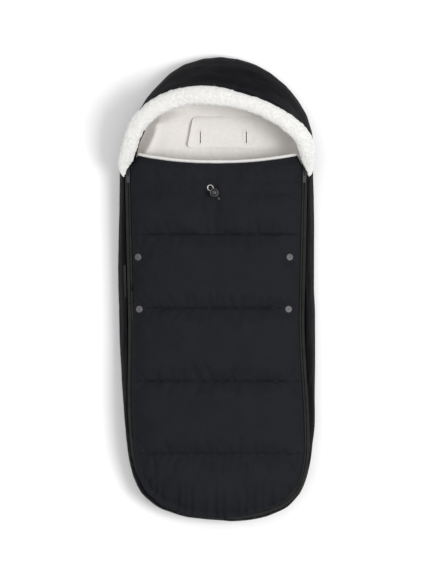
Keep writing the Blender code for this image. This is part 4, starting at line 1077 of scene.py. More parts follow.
def hardware_spots():
    """(spot under its flange, way its axis points, radius) of what is set into the cover."""
    spots = []
    for name in ("snap_socket_upper", "snap_stud_lower"):
        for side, _ in SIDES:
            spot, tilt, _ = disc_frame(f"{name}_{side}", STUD_RADIUS)
            spots.append((spot, tilt @ Vector((0, 0, 1)), STUD_RADIUS))
    low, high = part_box("eyelet_washer")
    middle = (low + high) / 2
    spot = Vector((middle.x, middle.y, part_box("eyelet")[1].z - EYELET_SEAT))
    spots.append((spot, Vector((0, 0, 1)), STUD_RADIUS))
    return spots


def settle_under(points, spots):
    """Draws the cloth level with the flange of each fastener."""
    for spot, axis, radius in spots:
        across, along = points[:, 0] - spot.x, points[:, 1] - spot.y
        reach = np.hypot(across, along)
        height = spot.z - FLANGE_SEAT - (axis.x * across + axis.y * along) / axis.z
        share = np.clip((radius + SETTLE_FAR - reach) / (SETTLE_FAR - SETTLE_NEAR), 0, 1)
        share = share * share * (3 - 2 * share)
        points[:, 2] += share * (height - points[:, 2])
    return points


# Stage, cord and cover


def make_stage():
    """Camera straight above, a pale floor and soft light from the right."""
    scene = bpy.context.scene
    scene.view_settings.view_transform = "Standard"
    camera = add_object("camera", bpy.data.cameras.new("camera"))
    camera.location = (CAMERA_X, 0, SUBJECT_HEIGHT + CAMERA_HEIGHT)
    camera.data.sensor_width = SENSOR
    camera.data.lens = SENSOR * CAMERA_HEIGHT / VIEW_LENGTH
    camera.data.clip_end = 60
    scene.camera = camera
    tree, shader, coordinates = start_material("pale_floor")
    specks = noise_value(tree, coordinates, 30, 3)
    feed(tree, shader, {
        "Base Color": shade_between(tree, specks, FLOOR_TONE, 0.995, 1.005),
        "Roughness": range_between(tree, specks, 0.85, 0.95), "Specular IOR Level": 0.1,
    })
    bm = bmesh.new()
    place = Matrix.Translation((0, 0, -FLOOR_DROP))
    bmesh.ops.create_grid(bm, x_segments=8, y_segments=8, size=FLOOR_HALF, matrix=place)
    floor = add_piece("floor", mesh_from(bm, "floor"), "pale_floor")
    floor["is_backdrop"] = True
    world = bpy.data.worlds.new("soft light")
    scene.world = world
    world.use_nodes = True
    sky = world.node_tree.nodes["Background"]
    sky.inputs["Color"].default_value = (1, 1, 1, 1)
    sky.inputs["Strength"].default_value = SKY_STRENGTH
    for name, energy, size, direction in LAMPS:
        light = bpy.data.lights.new(name, "AREA")
        light.energy = energy
        light.size = size
        lamp = add_object(name, light)
        toward = Vector(direction).normalized()
        lamp.location = toward * LAMP_DISTANCE
        lamp.rotation_euler = toward.to_track_quat("Z", "Y").to_euler()


def cord_route():
    """Up out of the eyelet, over in a small bend and along through the cord lock."""
    start = Vector(CORD_START)
    way = Vector(CORD_DIRECTION)
    points = [start + Vector((0, 0, CORD_RISE * step / 5)) for step in range(5)]
    turn = start + Vector((0, 0, CORD_RISE))
    for step in range(9):
        angle = math.radians(90) * step / 8
        rise = Vector((0, 0, CORD_BEND * math.sin(angle)))
        points.append(turn + way * (CORD_BEND * (1 - math.cos(angle))) + rise)
    last = points[-1]
    points += [last + way * (CORD_RUN * step / 12) for step in range(1, 13)]
    return points


def make_cords():
    route = cord_route()
    cord = swept_piece("cord_free_end", tube_rings(route, CORD_RADIUS, 20), "cord")
    way = Vector(CORD_DIRECTION)
    cap = [route[-1] + way * step for step, _ in CORD_TIP]
    radii = [radius for _, radius in CORD_TIP]
    tip = swept_piece("cord_tip", tube_rings(cap, radii, 20), "cord_tip", 35)
    dress(cord, "flap", "cord", ["cord_end"])
    dress(tip, "flap", "cord")
    length = sum((b - a).length for a, b in zip(route, route[1:]))
    [tuple(point) for point in route]
    points, _ = node_arrays("drawcord")
    spots = sorted({round(float(x), 4) for x in points[:, 0]})
    route = [points[np.abs(points[:, 0] - x) < 0.0002].mean(axis=0) for x in spots]
    fine = smooth_through(route, 12)
    inner = swept_piece("drawcord_braid", tube_rings(fine, DRAWCORD_RADIUS, 12), "cord")
    dress(inner, "flap", "cord", ["drawcord"])


def smooth_through(points, steps):
    """A smooth route through points, with the given number of steps to a span."""
    p = np.array(points, float)
    padded = np.vstack((2 * p[0] - p[1], p, 2 * p[-1] - p[-2]))
    route = []
    for i in range(1, len(padded) - 2):
        a, b, c, d = padded[i - 1 : i + 3]
        for t in np.linspace(0, 1, steps, endpoint=False):
            bend = 2 * b + (c - a) * t + (2 * a - 5 * b + 4 * c - d) * t**2
            route.append(0.5 * (bend + (3 * b - a - 3 * c + d) * t**3))
    return np.array([*route, p[-1]])


def gathers(points, rows):
    """Small folds that stand across the quilting seams and the foot hem."""
    depth = footmuff_sizes().pucker_depth
    hem = footmuff_sizes().hem_fold_depth
    for r, (side_y, blend) in enumerate(rows):
        for c in range(points.shape[1]):
            x, y, z = points[r, c]
            rise = 0.0
            for index, seam in enumerate(SEAMS):
                away = side_y - seam if blend == 0 or side_y > 0 else y - seam
                reach = GATHER_REACH + GATHER_SPREAD * uneven(x * 30, index * 7.3)
                drift = 5 * uneven(x * 22, seam * 50, 1.7)
                wave = math.sin(math.tau * x / GATHER_PITCH + drift)
                size = 0.5 + 0.9 * uneven(x * 35, seam * 30, 4.1)
                fade = math.exp(-abs(away) / max(reach, 0.004)) * (1 - math.exp(-abs(away) / 0.0015))
                rise += depth * SEAM_STRENGTH[index] * size * wave * fade
                rise -= GROOVE_DEPTH * math.exp(-((away / GROOVE_WIDTH) ** 2))
            if side_y < 0 and blend > HEM_START:
                drift = 5 * uneven(x * 30, 3.3)
                wave = math.sin(math.tau * x / HEM_PITCH + drift)
                size = 0.6 + 0.6 * uneven(x * 45, 9.1)
                rise += hem * wave * (blend - HEM_START) / (1 - HEM_START) * size
            rise += COVER_SLACK * rough(Vector((x * 14, y * 14, 0.5)), 1.0, 3)
            edge = min(1.0, 4 * (points.shape[1] / 2 - abs(c - points.shape[1] / 2 + 0.5)) / 10)
            points[r, c, 2] = z + rise * edge
    return points


def make_cover():
    """One quilted cover over the fold, and its fleece lining."""
    plan = CoverPlan()
    rows = plan.rows()
    turn = np.linspace(-1, 1, COLUMNS)
    shares = np.sign(turn) * (1 - (1 - np.abs(turn)) ** COLUMN_CROWD)
    top = np.zeros((len(rows), len(shares), 3))
    low = np.zeros_like(top)
    for r, row in enumerate(rows):
        for c, share in enumerate(shares):
            x, y = plan.spot(float(share), *row)
            top[r, c] = (x, y, plan.top(float(share), row, y))
            low[r, c] = (x, y, plan.low(float(share), row))
    middle = (CASING[0] + CASING[1]) / 2
    ease = np.clip(1 - ((top[:, :, 1] - middle) / (CASING[1] - middle)) ** 2, 0, 1)
    top[:, :, 2] += CASING_RISE * ease
    spots = hardware_spots()
    flat = settle_under(top.reshape(-1, 3), spots)
    mesh = bpy.data.meshes.new("cover_cloth")
    mesh.from_pydata(flat.tolist(), [], grid_faces(len(rows), len(shares)))
    cloth = add_piece("cover_cloth", mesh, "cover_fabric")
    pins = {}
    for r, (side_y, blend) in enumerate(rows):
        on_seam = blend == 0 and min(abs(side_y - seam) for seam in (*SEAMS, *CASING)) < 0.0004
        for c in range(len(shares)):
            index = r * len(shares) + c
            if on_seam or r in (0, len(rows) - 1) or c in (0, len(shares) - 1):
                pins[index] = 1.0
    for spot, _, radius in spots:
        near = np.hypot(flat[:, 0] - spot.x, flat[:, 1] - spot.y) < radius + 0.002
        pins.update({int(index): 1.0 for index in np.nonzero(near)[0]})
    excess = footmuff_sizes().cloth_excess
    plump(cloth, *COVER_FILL, pins=pins, excess=excess, open_sheet=True)
    shaped = get_points(cloth)
    bpy.data.objects.remove(cloth)
    shaped = gathers(shaped.reshape(top.shape), rows).reshape(-1, 3)
    shaped = settle_under(shaped, spots).reshape(top.shape)
    shaped[:, :, 2] = np.maximum(shaped[:, :, 2], low[:, :, 2] + LEAST_THICKNESS)
    rim = shaped.reshape(-1, 3)[rim_order(len(rows), len(shares))]
    cover = closed_slab("quilted_cover", shaped, low, "cover_fabric", lapped_rings(rim, len(shares)))
    under = low[::2, ::2].copy()
    under[:, :, 2] -= LINING_GAP
    base = under.copy()
    for point in base.reshape(-1, 3):
        point[2] -= LINING_DEPTH * (1 + 0.25 * rough(Vector(point), 160))
    lining = closed_slab("cover_fleece", under, base, "fleece")
    nodes = ["flap_fabric", "flap_wadding", "cover_fabric", "cover_wadding"]
    for item, slot, names, fill in (
        (cover, "cover_fabric", nodes, 0.6), (lining, "fleece", ["flap_lining", "cover_lining"], 0.2),
    ):
        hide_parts(*names)
        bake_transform(item)


# Walls, hood, back and linings


def cut_piece(source, name, look, planes):
    """A closed copy of the part of a piece that lies behind every plane."""
    bm = bmesh.new()
    bm.from_mesh(source.data)
    for spot, normal in planes:
        everything = bm.verts[:] + bm.edges[:] + bm.faces[:]
        bmesh.ops.bisect_plane(bm, geom=everything, plane_co=spot, plane_no=normal, clear_outer=True)
    bmesh.ops.holes_fill(bm, edges=bm.edges, sides=0)
    bmesh.ops.triangulate(bm, faces=[face for face in bm.faces if len(face.verts) > 4])
    return add_piece(name, mesh_from(bm, name, 60), look)


def wall_folds(spot, normal):
    """Long soft folds and short creases of the wall cloth, drawn in at its seams."""
    long_folds = WALL_FOLDS * rough(Vector((spot.x * 8, spot.y * 5, spot.z * 22)), 1.0, 2)
    creases = WALL_CREASES * rough(Vector((spot.x * 30, spot.y * 18, spot.z * 60)), 1.0, 2)
    seam = SEAM_PULL * math.exp(-abs(spot.y - GUSSET_END_Y) / SEAM_PULL_REACH)
    side = 1 if normal.z > -0.5 else 0
    return (long_folds + creases - seam) * side + wall_fullness(spot, normal)


def wall_fullness(spot, normal):
    """How far the stuffed wall stands out, on its outer face only."""
    if spot.y < FOOT_MIDDLE[1]:
        angle, outwards = bearing(spot, FOOT_MIDDLE, -1)
        return read_table(FOOT_FULLNESS, angle) * max(0.0, normal.dot(outwards))
    return read_table(SIDE_FULLNESS, spot.y) * max(0.0, normal.x) if spot.x > 0 else 0.0


def make_walls():
    nodes = ["side_gusset_left", "side_gusset_right", "foot_gusset", "side_wadding"]
    tub = remeshed("tub", nodes, TUB_GRID, "shell_fabric")
    plump(tub, *WALL_FILL)
    push_out(tub, wall_folds)
    subdivided(tub)
    foot_spot = (0, GUSSET_END_Y - SEAM_GAP, 0)
    side_spot = (0, GUSSET_END_Y + SEAM_GAP, 0)
    parts = (
        ("gusset_left_padded", ["side_gusset_left"], [(side_spot, (0, -1, 0)), ((0, 0, 0), (1, 0, 0))]),
        ("gusset_right_padded", ["side_gusset_right"], [(side_spot, (0, -1, 0)), ((0, 0, 0), (-1, 0, 0))]),
        ("gusset_foot_padded", ["foot_gusset", "side_wadding"], [(foot_spot, (0, 1, 0))]),
    )
    for name, replaced, planes in parts:
        part = cut_piece(tub, name, "shell_fabric", planes)
        keep_off_floor(part)
        dress(part, "shell", "shell_fabric", replaced)
    bpy.data.objects.remove(tub)


def keep_off_floor(item):
    points = get_points(item)
    points[:, 2] = np.maximum(points[:, 2], 0.0)
    set_points(item, points)


def hood_folds(spot, normal):
    """Slack cloth over the hood, with folds that run round the head."""
    share = min(max(spot.z / HOOD_HEIGHT, 0), 1)
    around = math.atan2(spot.x, spot.y - CUFF_MIDDLE[1])
    folds = HOOD_FOLDS * uneven(around * 2.2, spot.z * 30, 1.3)
    folds += HOOD_CREASES * uneven(around * 6, spot.z * 55, 5.3)
    folds += HOOD_CRINKLE * rough(spot, 38, 2)
    angle, outwards = bearing(spot, HOOD_MIDDLE)
    stuffed = read_table(HOOD_FULLNESS, angle) * max(0.0, normal.dot(outwards))
    return folds * (0.4 + 0.6 * math.sin(math.pi * share)) + stuffed


def raise_rim(item, rise, reach, shares):
    """Lifts the top edge of the hood or of its lining into the cuff."""
    points = get_points(item)
    away = points[:, :2] - np.array(CUFF_MIDDLE[:2])
    angles = np.degrees(np.arctan2(away[:, 0], away[:, 1]))
    sector = np.round(angles / RIM_STEP).astype(int)
    sectors = np.unique(sector)
    tops = [points[sector == s, 2].max() for s in sectors]
    below = np.interp(angles, sectors * RIM_STEP, tops) - points[:, 2]
    near = np.clip(1 - below / reach, 0, 1)
    lift = rise * np.interp(angles, *zip(*shares))
    points[:, 2] += lift * near * near * (3 - 2 * near)
    set_points(item, points)


def reach_over(item, edge):
    """Carries a piece's sewn edge, at the given y, a little footwards over its neighbour."""
    points = get_points(item)
    near = np.clip(1 - np.abs(points[:, 1] - edge) / WALL_SEAM_REACH, 0, 1)
    points[:, 1] -= WALL_SEAM * near
    set_points(item, points)


def make_hood():
    hood = remeshed("hood_padded", ["hood_panel", "hood_wadding"], HOOD_GRID, "shell_fabric")
    plump(hood, *WALL_FILL)
    push_out(hood, hood_folds)
    subdivided(hood)
    raise_rim(hood, RIM_RISE, RIM_REACH, RIM_SHARES)
    reach_over(hood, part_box("hood_panel")[0].y)
    keep_off_floor(hood)
    dress(hood, "shell", "shell_fabric", ["hood_panel", "hood_wadding"])


def pile(depth, curl, folds=0.0):
    """Uneven pile, on cloth that lies in soft folds."""
    def amount(spot, normal):
        tufts = depth * (0.7 * noise.noise(spot / curl) + 0.5 * noise.noise(spot * 2.3 / curl))
        return tufts + folds * uneven(spot.x * 26, spot.y * 11, spot.z * 18)

    return amount


def inside_only(amount):
    """The same amount on faces that look into the footmuff, and none on the lining's back."""
    def inner(spot, normal):
        middle = min(max(spot.y, FOOT_MIDDLE[1]), CUFF_MIDDLE[1])
        away = Vector((spot.x, spot.y - middle, 0))
        return amount(spot, normal) if normal.dot(away) < 0 else 0.0

    return inner


def make_linings():
    for name, node, grid in (
        ("tub_fleece", "side_lining", LINING_GRID),
        ("hood_fleece", "hood_lining", LINING_GRID),
        ("back_fleece", "back_lining", BACK_GRID),
        ("slot_panel_fleece", "slot_panel", SLOT_PANEL_GRID),
    ):
        item = remeshed(name, [node], grid, "fleece")
        amount = pile(*(SLOT_PANEL_PILE if node == "slot_panel" else LINING_PILE))
        push_out(item, inside_only(amount) if node in ("side_lining", "hood_lining") else amount)
        if node == "slot_panel":
            curl_edges(item)
        if node == "hood_lining":
            raise_rim(item, LINING_RISE, LINING_REACH, LINING_SHARES)
        if node == "back_lining":
            raise_wall_fold(item)
        dress(item, "shell", "fleece", [node])


def raise_wall_fold(lining):
    """Lifts the back's lining in one long fold beside the left wall."""
    points = get_points(lining)
    facing = get_normals(lining)[:, 2]
    away = points[:, 0] - np.interp(points[:, 1], *zip(*WALL_FOLD))
    height = WALL_FOLD_HEIGHT * np.interp(points[:, 1], *zip(*WALL_FOLD_SHARE))
    right = np.exp(-(away / WALL_FOLD_RIGHT) ** 2)
    left = np.clip(1 + away / WALL_FOLD_LEFT, 0, 1)
    points[:, 2] += height * np.where(away > 0, right, left) * (facing > 0.3)
    set_points(lining, points)


def curl_edges(panel):
    """Sinks the sewn edges of the slot panel into the lining, and lifts its loose left and lower edges."""
    low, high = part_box("slot_panel")
    points = get_points(panel)
    sewn = np.exp(-np.maximum(high.y - points[:, 1], 0) / PANEL_SINK_REACH)
    sewn = np.maximum(sewn, np.exp(-np.maximum(high.x - points[:, 0], 0) / PANEL_SINK_REACH))
    points[:, 2] -= PANEL_SINK * sewn
    upwards = (points[:, 1] - low.y) / (high.y - low.y)
    left = np.exp(-np.maximum(points[:, 0] - low.x, 0) / PANEL_CURL_REACH)
    foot = np.exp(-np.maximum(points[:, 1] - low.y, 0) / PANEL_CURL_REACH)
    wavy = 0.45 + 0.45 * np.cos((points[:, 0] - low.x) * 62)
    lift = np.maximum(PANEL_CURL_LEFT * left * (1 - 0.4 * upwards), PANEL_CURL * foot * wavy)
    points[:, 2] += lift * (1 - sewn)
    points[:, 0] += PANEL_LEAN * upwards * np.exp(-np.maximum(points[:, 0] - low.x, 0) / PANEL_LEAN_REACH)
    set_points(panel, points)


def sheeted(name, node, step, look, wave):
    """A flat cut piece with enough faces to lie unevenly, its slots kept."""
    bm = node_bmesh(node)
    bmesh.ops.dissolve_limit(bm, angle_limit=0.01, verts=bm.verts, edges=bm.edges)
    low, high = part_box(node)
    for axis in (0, 1):
        normal = Vector((axis == 0, axis == 1, 0))
        for value in np.arange(low[axis] + step, high[axis], step):
            everything = bm.verts[:] + bm.edges[:] + bm.faces[:]
            bmesh.ops.bisect_plane(bm, geom=everything, plane_co=normal * float(value), plane_no=normal)
    bmesh.ops.triangulate(bm, faces=bm.faces)
    for v in bm.verts:
        v.co.z += wave * 0.5 * (1 + rough(Vector((v.co.x, v.co.y, 0)), 16, 2))
    return add_piece(name, mesh_from(bm, name, 40), look)


def make_back():
    outer = sheeted("back_cloth", "back_panel", BACK_STEP, "shell_fabric", BACK_WAVE)
    dress(outer, "shell", "shell_fabric", ["back_panel"])
    pad = sheeted("back_pad", "back_wadding", PAD_STEP, "wadding", BACK_WAVE)
    dress(pad, "shell", "wadding", ["back_wadding"])
    for place in SLOTS:
        node = f"slot_binding_{place}"
        ring = bevelled_node(f"binding_{place}", node, BINDING_EDGE, "fleece", 3)
        draw_together(ring, node)
        dress(ring, "shell", "fleece", [node])


def draw_together(ring, node):
    """Brings the soft lips of a slot's binding close to each other."""
    low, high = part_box(node)
    middle, half = (low.x + high.x) / 2, (high.x - low.x) / 2
    points = get_points(ring)
    away = points[:, 0] - middle
    near = np.interp(np.abs(away), (0, SLOT_HALF_WIDTH, half), (0, LIP_GAP / 2, half))
    points[:, 0] = middle + np.sign(away) * near
    set_points(ring, points)


def bevelled_node(name, node, width, look, segments=2):
    """A node's own shape with its edges rounded."""
    bm = node_bmesh(node)
    bmesh.ops.dissolve_limit(bm, angle_limit=math.radians(2), verts=bm.verts, edges=bm.edges)
    item = add_piece(name, mesh_from(bm, name, 30), look)
    change = item.modifiers.new("edges", "BEVEL")
    change.width = width
    change.segments = segments
    change.limit_method = "ANGLE"
    change.angle_limit = math.radians(35)
    return applied(item)


# Cuff, flap edge, label


def cuff_fullness(spot, normal):
    """How far the roll stands out of its hood, or into the opening."""
    angle, outwards = bearing(spot, CUFF_MIDDLE)
    facing = normal.dot(outwards)
    sag = RIM_SAG * max(0.0, -normal.z) * read_table(RIM_SHARES, angle)
    return read_table(CUFF_OUTSIDE if facing > 0 else CUFF_INSIDE, angle) * abs(facing) + sag


def upper_faces(item, lowest):
    """A copy of a piece's mesh without the faces that look down further than the given cosine."""
    bm = bmesh.new()
    bm.from_mesh(item.data)
    down = [face for face in bm.faces if face.normal.z < lowest]
    bmesh.ops.delete(bm, geom=down, context="FACES")
    return mesh_from(bm, "upper faces", 180)


def make_cuff():
    cuff = remeshed("cuff_roll", ["fleece_cuff"], CUFF_GRID, "cuff_fleece")
    plump(cuff, *CUFF_FILL)
    push_out(cuff, lambda spot, normal: CUFF_LUMPS * rough(spot, 42, 2) + cuff_fullness(spot, normal))
    subdivided(cuff)
    push_out(cuff, pile(*CUFF_PILE))
    tree = tuft_tree()
    tufts = add_piece("cuff_tufts", upper_faces(cuff, TUFTS_LOWEST), "cuff_fleece")
    sizes = footmuff_sizes()
    values = {
        "Density": sizes.tuft_density, "Tuft Radius": sizes.tuft_size, "Seed": sizes.seed,
        "Finish": finish("cuff_fleece"),
    }
    run_tree(tufts, tree, values)
    dress(cuff, "shell", "cuff_fleece", ["fleece_cuff"])
    dress(tufts, "shell", "cuff_fleece")
    make_cuff_seam(cuff)
    roll = remeshed("flap_edge_roll", ["flap_edge_piping"], EDGE_ROLL_GRID, "cuff_fleece")
    curls = pile(*ROLL_PILE)
    push_out(roll, lambda spot, normal: ROLL_FULLNESS + curls(spot, normal))
    dress(roll, "flap", "cuff_fleece", ["flap_edge_piping"])


def make_cuff_seam(cuff):
    """The dark seam that shows between the left end of the cuff and the lining."""
    inner = [Vector((x, y, 0)) for x, y in CUFF_SEAM]
    ways = [bearing(spot, CUFF_MIDDLE)[1] for spot in inner]
    tops = laid_on(cuff, [(spot + way * (CUFF_SEAM_WIDTH * 1.2))[:2] for spot, way in zip(inner, ways)])
    rings = []
    for spot, way, top in zip(inner, ways, tops, strict=True):
        upper = Vector((0, 0, top.z - CUFF_SEAM_DROP))
        lower = upper - Vector((0, 0, CUFF_SEAM_THICKNESS))
        outer = spot + way * CUFF_SEAM_WIDTH
        rings.append([spot + upper, spot + lower, outer + lower, outer + upper])
    dress(swept_piece("cuff_seam_left", rings, "shell_fabric"), "shell", "shell_fabric")


def make_label():
    label = bevelled_node("label_bare", "label_tab", LABEL_EDGE, "label")
    subdivided(label, 2, "SIMPLE")
    push_out(label, lambda spot, normal: LABEL_WAVE * rough(spot, 60, 2))
    dress(label, "shell", "label", ["label_tab"])


# Zips


def strip_stations(*nodes):
    """Middles and outward half widths along a zip's strips from the head end, and their heights."""
    stations = []
    for node in nodes:
        rows, low, high = strip_rows(node)
        stations += rows
    return smooth_through(stations, 6), low, high


def strip_rows(node):
    """The (middle, half width) of each pair of corners along one strip, from the head end."""
    points, _ = node_arrays(node)
    points = np.unique(np.round(points, 6), axis=0)
    low, high = points[:, 2].min(), points[:, 2].max()
    upper = points[points[:, 2] > (low + high) / 2]
    pairs, left = [], list(range(len(upper)))
    while len(left) > 1:
        first = left.pop(0)
        away = [np.linalg.norm(upper[first] - upper[other]) for other in left]
        second = left.pop(int(np.argmin(away)))
        pairs.append((upper[first], upper[second]))
    middles = [(a + b) / 2 for a, b in pairs]
    order = [int(np.argmax([m[1] for m in middles]))]
    while len(order) < len(pairs):
        here = middles[order[-1]]
        rest = [i for i in range(len(pairs)) if i not in order]
        order.append(min(rest, key=lambda i: np.linalg.norm(middles[i] - here)))
    centre = np.array((0, ZIP_MIDDLE_Y, high))
    stations = []
    for i in order:
        a, b = pairs[i]
        half = (a - b) / 2
        if np.dot(half, middles[i] - centre) < 0:
            half = -half
        stations.append((*middles[i][:2], *half[:2]))
    return stations, low, high


TAPE_SECTION = (
    (-1.0, 0.5), (-0.95, 0.9), (-0.6, 1.0), (-0.2, 1.0), (0.2, 1.0), (0.6, 1.0), (0.95, 0.9), (1.0, 0.5),
    (0.95, 0.1), (0.6, 0.0), (0.2, 0.0), (-0.2, 0.0), (-0.6, 0.0), (-0.95, 0.1),
)


TAPE_RIPPLE = 0.00015
ROUTE_STEP = 0.002
COIL_SHARE = 0.30
COIL_EXTRA = 0.0006


def strip_piece(name, stations, section, ripple=0.0):
    """A strip of tape that follows the zip, from its (half widths from the middle, height) section."""
    rings = []
    for x, y, hx, hy in stations:
        rise = ripple * uneven(x * 60, y * 60)
        rings.append([(x + hx * s, y + hy * s, z + rise) for s, z in section])
    return swept_piece(name, rings, "zip_tape")


def make_zips():
    teeth = row_tree()
    pitch = footmuff_sizes().tooth_pitch
    strips = []
    for side, _ in SIDES:
        strips.append((f"shell_{side}", "shell", [f"shell_{side}"], 0.0))
        strips.append((f"cover_{side}", None, [f"flap_{side}", f"lower_{side}"], pitch / 2))
    for name, body, parts, offset in strips:
        stations, low, high = strip_stations(*[f"zip_tape_{part}" for part in parts])
        first, second = np.array(stations[0]), np.array(stations[1])
        onwards = (first - second)[:2]
        first[:2] += onwards / np.linalg.norm(onwards) * TAPE_HEAD
        section = [(s, low + (high - low) * t) for s, t in TAPE_SECTION]
        tape = strip_piece(f"zip_tape_{name}_woven", (first, *stations), section, TAPE_RIPPLE)
        # Painted shade along one edge of each cover tape, where the cover's edge laps over it; none on the
        # shell tapes
        edge = [0.0 if body else min(max((0.1 - s) / 0.4, 0.0), 1.0) for s, _ in TAPE_SECTION]
        values = edge * (len(stations) + 1)
        tape.data.attributes.new("sewn_edge", "FLOAT", "POINT").data.foreach_set("value", values)
        if body:
            (outer, inner), (bottom, top) = GUARD_EDGES, GUARD_HEIGHTS
            section = ((outer, bottom), (outer, top), (inner, top), (inner, bottom))
            guard = strip_piece(f"zip_guard_{name[6:]}", stations, section)
            dress(guard, "shell", "zip_tape")
        stations, low, high = strip_stations(*[f"zip_coil_{part}" for part in parts])
        height = (low + high) / 2
        route = even_route([(x, y, height) for x, y, _, _ in stations], offset)
        half = float(np.hypot(*stations[0][2:4])) + COIL_EXTRA
        size = (pitch * COIL_SHARE, half, (high - low) / 2)
        coil = path_piece(f"zip_coil_{name}_teeth", [route], teeth, pitch, size, "zip_coil")
        for item, kind, slot in ((tape, "tape", "zip_tape"), (coil, "coil", "zip_coil")):
            nodes = [f"zip_{kind}_{part}" for part in parts]
            if body:
                dress(item, body, slot, nodes)
            else:
                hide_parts(*nodes)
                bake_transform(item)
    stop = bevelled_node("zip_stop", "zip_bottom_stop", STOP_EDGE, "zip_metal", 3)
    dress(stop, "shell", "zip_metal", ["zip_bottom_stop"])


def even_route(points, start):
    """The route in even steps, with its first stretch left off."""
    p = np.array(points, float)
    steps = np.linalg.norm(np.diff(p, axis=0), axis=1)
    arc = np.concatenate(([0], np.cumsum(steps)))
    along = np.arange(start, arc[-1], ROUTE_STEP)
    return np.stack([np.interp(along, arc, p[:, k]) for k in range(3)], axis=1)


def make_sliders():
    for side, _ in SIDES:
        slider = bevelled_node(f"slider_{side}_cast", f"slider_{side}", SLIDER_EDGE, "zip_metal", 3)
        dress(slider, f"slider_{side}", "zip_metal", [f"slider_{side}"])
        pull = bevelled_node(f"pull_{side}_moulded", f"pull_tab_{side}", SLIDER_EDGE, "black_plastic", 3)
        dress(pull, f"pull_{side}", "black_plastic", [f"pull_tab_{side}"])


# Fasteners


def disc_frame(node, radius):
    """Middle of a turned node's flange underside, and the turn of its axis."""
    points, _ = node_arrays(node)
    points = np.unique(np.round(points, 6), axis=0)
    centre = points.mean(axis=0)
    _, vectors = np.linalg.eigh(np.cov((points - centre).T))
    axis = vectors[:, int(np.argmax(np.abs(vectors[2])))]
    axis = axis * np.sign(axis[2])
    along = (points - centre) @ axis
    reach = np.linalg.norm(points - centre - along[:, None] * axis, axis=1)
    base = float(along[reach > 0.9 * radius].min())
    depth = base - float(along.min())
    spot = centre + axis * base
    return Vector(spot), Vector((0, 0, 1)).rotation_difference(Vector(axis)), depth


FLANGE = (
    (0.0034, 0.00195), (0.0056, 0.0020), (0.0064, 0.00190), (0.0070, 0.00160), (0.0074, 0.00115),
    (0.0075, 0.00070), (0.0074, 0.00025), (0.0071, 0.0),
)
KNOB = (
    (0.0, 0.0034), (0.0015, 0.0034), (0.0021, 0.0032), (0.0024, 0.0028), (0.0021, 0.0023), (0.0024, 0.0020),
    (0.0029, 0.0018),
)
SOCKET = (
    (0.0, 0.0011), (0.0022, 0.0011), (0.0026, 0.0013), (0.0027, 0.0018), (0.0029, 0.0021), (0.0032, 0.0021),
)
INNER_CAP = (
    (0.0, 0.0012), (0.0060, 0.0012), (0.0064, 0.0010), (0.0065, 0.0006), (0.0063, 0.0002), (0.0058, 0.0),
    (0.0030, -0.0003), (0.0, -0.0004),
)
EYELET_RING = (
    (0.0042, -0.0006), (0.0044, -0.0002), (0.0049, 0.0), (0.0060, 0.0), (0.0069, -0.0002), (0.0074, -0.0006),
    (0.0075, -0.0009), (0.0073, -0.0010), (0.0049, -0.0010), (0.0049, -0.0042), (0.0042, -0.0042),
)


def make_studs():
    for side, _ in SIDES:
        for node, head, body in (
            (f"snap_socket_upper_{side}", SOCKET, "flap"), (f"snap_stud_lower_{side}", KNOB, "shell"),
        ):
            spot, tilt, depth = disc_frame(node, STUD_RADIUS)
            profile = [*head, *FLANGE, (0.0017, 0.0), (0.0017, -depth), (0.0, -depth)]
            stud = turned_piece(f"{node}_turned", profile, 48, "stud_cap", spot, tilt)
            dress(stud, body, "black_plastic", [node])
        for place, body in (("upper", "flap"), ("lower", "shell")):
            node = f"snap_cap_{place}_{side}"
            spot, tilt, _ = disc_frame(node, CAP_RADIUS)
            cap = turned_piece(f"{node}_turned", INNER_CAP, 40, "black_plastic", spot, tilt)
            dress(cap, body, "black_plastic", [node])


def cut_with(item, cutter):
    change = item.modifiers.new("hole", "BOOLEAN")
    change.operation = "DIFFERENCE"
    change.solver = "EXACT"
    change.object = cutter
    applied(item)
    bpy.data.objects.remove(cutter)


WASHER_RING = ((0.0052, 0.0), (0.0073, 0.0), (0.0075, -0.0003), (0.0073, -0.0006), (0.0052, -0.0006))
BARREL = (
    (0.0, 0.0), (0.0086, 0.0), (0.0095, 0.0003), (0.0099, 0.0011), (0.0099, 0.0045), (0.0097, 0.0050),
    (0.0099, 0.0055), (0.0099, 0.0148), (0.0094, 0.0159), (0.0085, 0.0165), (0.0072, 0.0165),
    (0.0065, 0.0161), (0.0064, 0.0155), (0.0064, 0.0014), (0.0062, 0.0012), (0.0, 0.0012),
)
BUTTON_FOOT = ((0.0, 0.0), (0.0054, 0.0), (0.0060, 0.0006))
BUTTON_RADIUS = 0.0060
BUTTON_DOME = 0.0030
DOME_STEPS = 8
DOME_POWER = 0.7
CORD_HOLE_RADIUS = 0.0021
CORD_HOLE_REACH = 0.013
CORD_SLOT = (
    (-0.0017, -0.012), (-0.0017, 0.0038), (-0.0010, 0.0044), (0.0010, 0.0044), (0.0017, 0.0038),
    (0.0017, -0.012),
)
CORD_SLOT_REACH = 0.010
SPRING_WIRE = 0.00035
SPRING_RADIUS = 0.0042
SPRING_TURNS = 4
TURN_STEPS = 24


def make_eyelet():
    low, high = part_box("eyelet")
    middle = (low + high) / 2
    spot = (middle.x, middle.y, high.z)
    ring = turned_piece("eyelet_turned", EYELET_RING, 56, "nickel", spot, closed=True)
    dress(ring, "flap", "nickel", ["eyelet"])
    low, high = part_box("eyelet_washer")
    spot = ((low.x + high.x) / 2, (low.y + high.y) / 2, high.z)
    washer = turned_piece("eyelet_washer_turned", WASHER_RING, 48, "nickel", spot, closed=True)
    dress(washer, "flap", "nickel", ["eyelet_washer"])


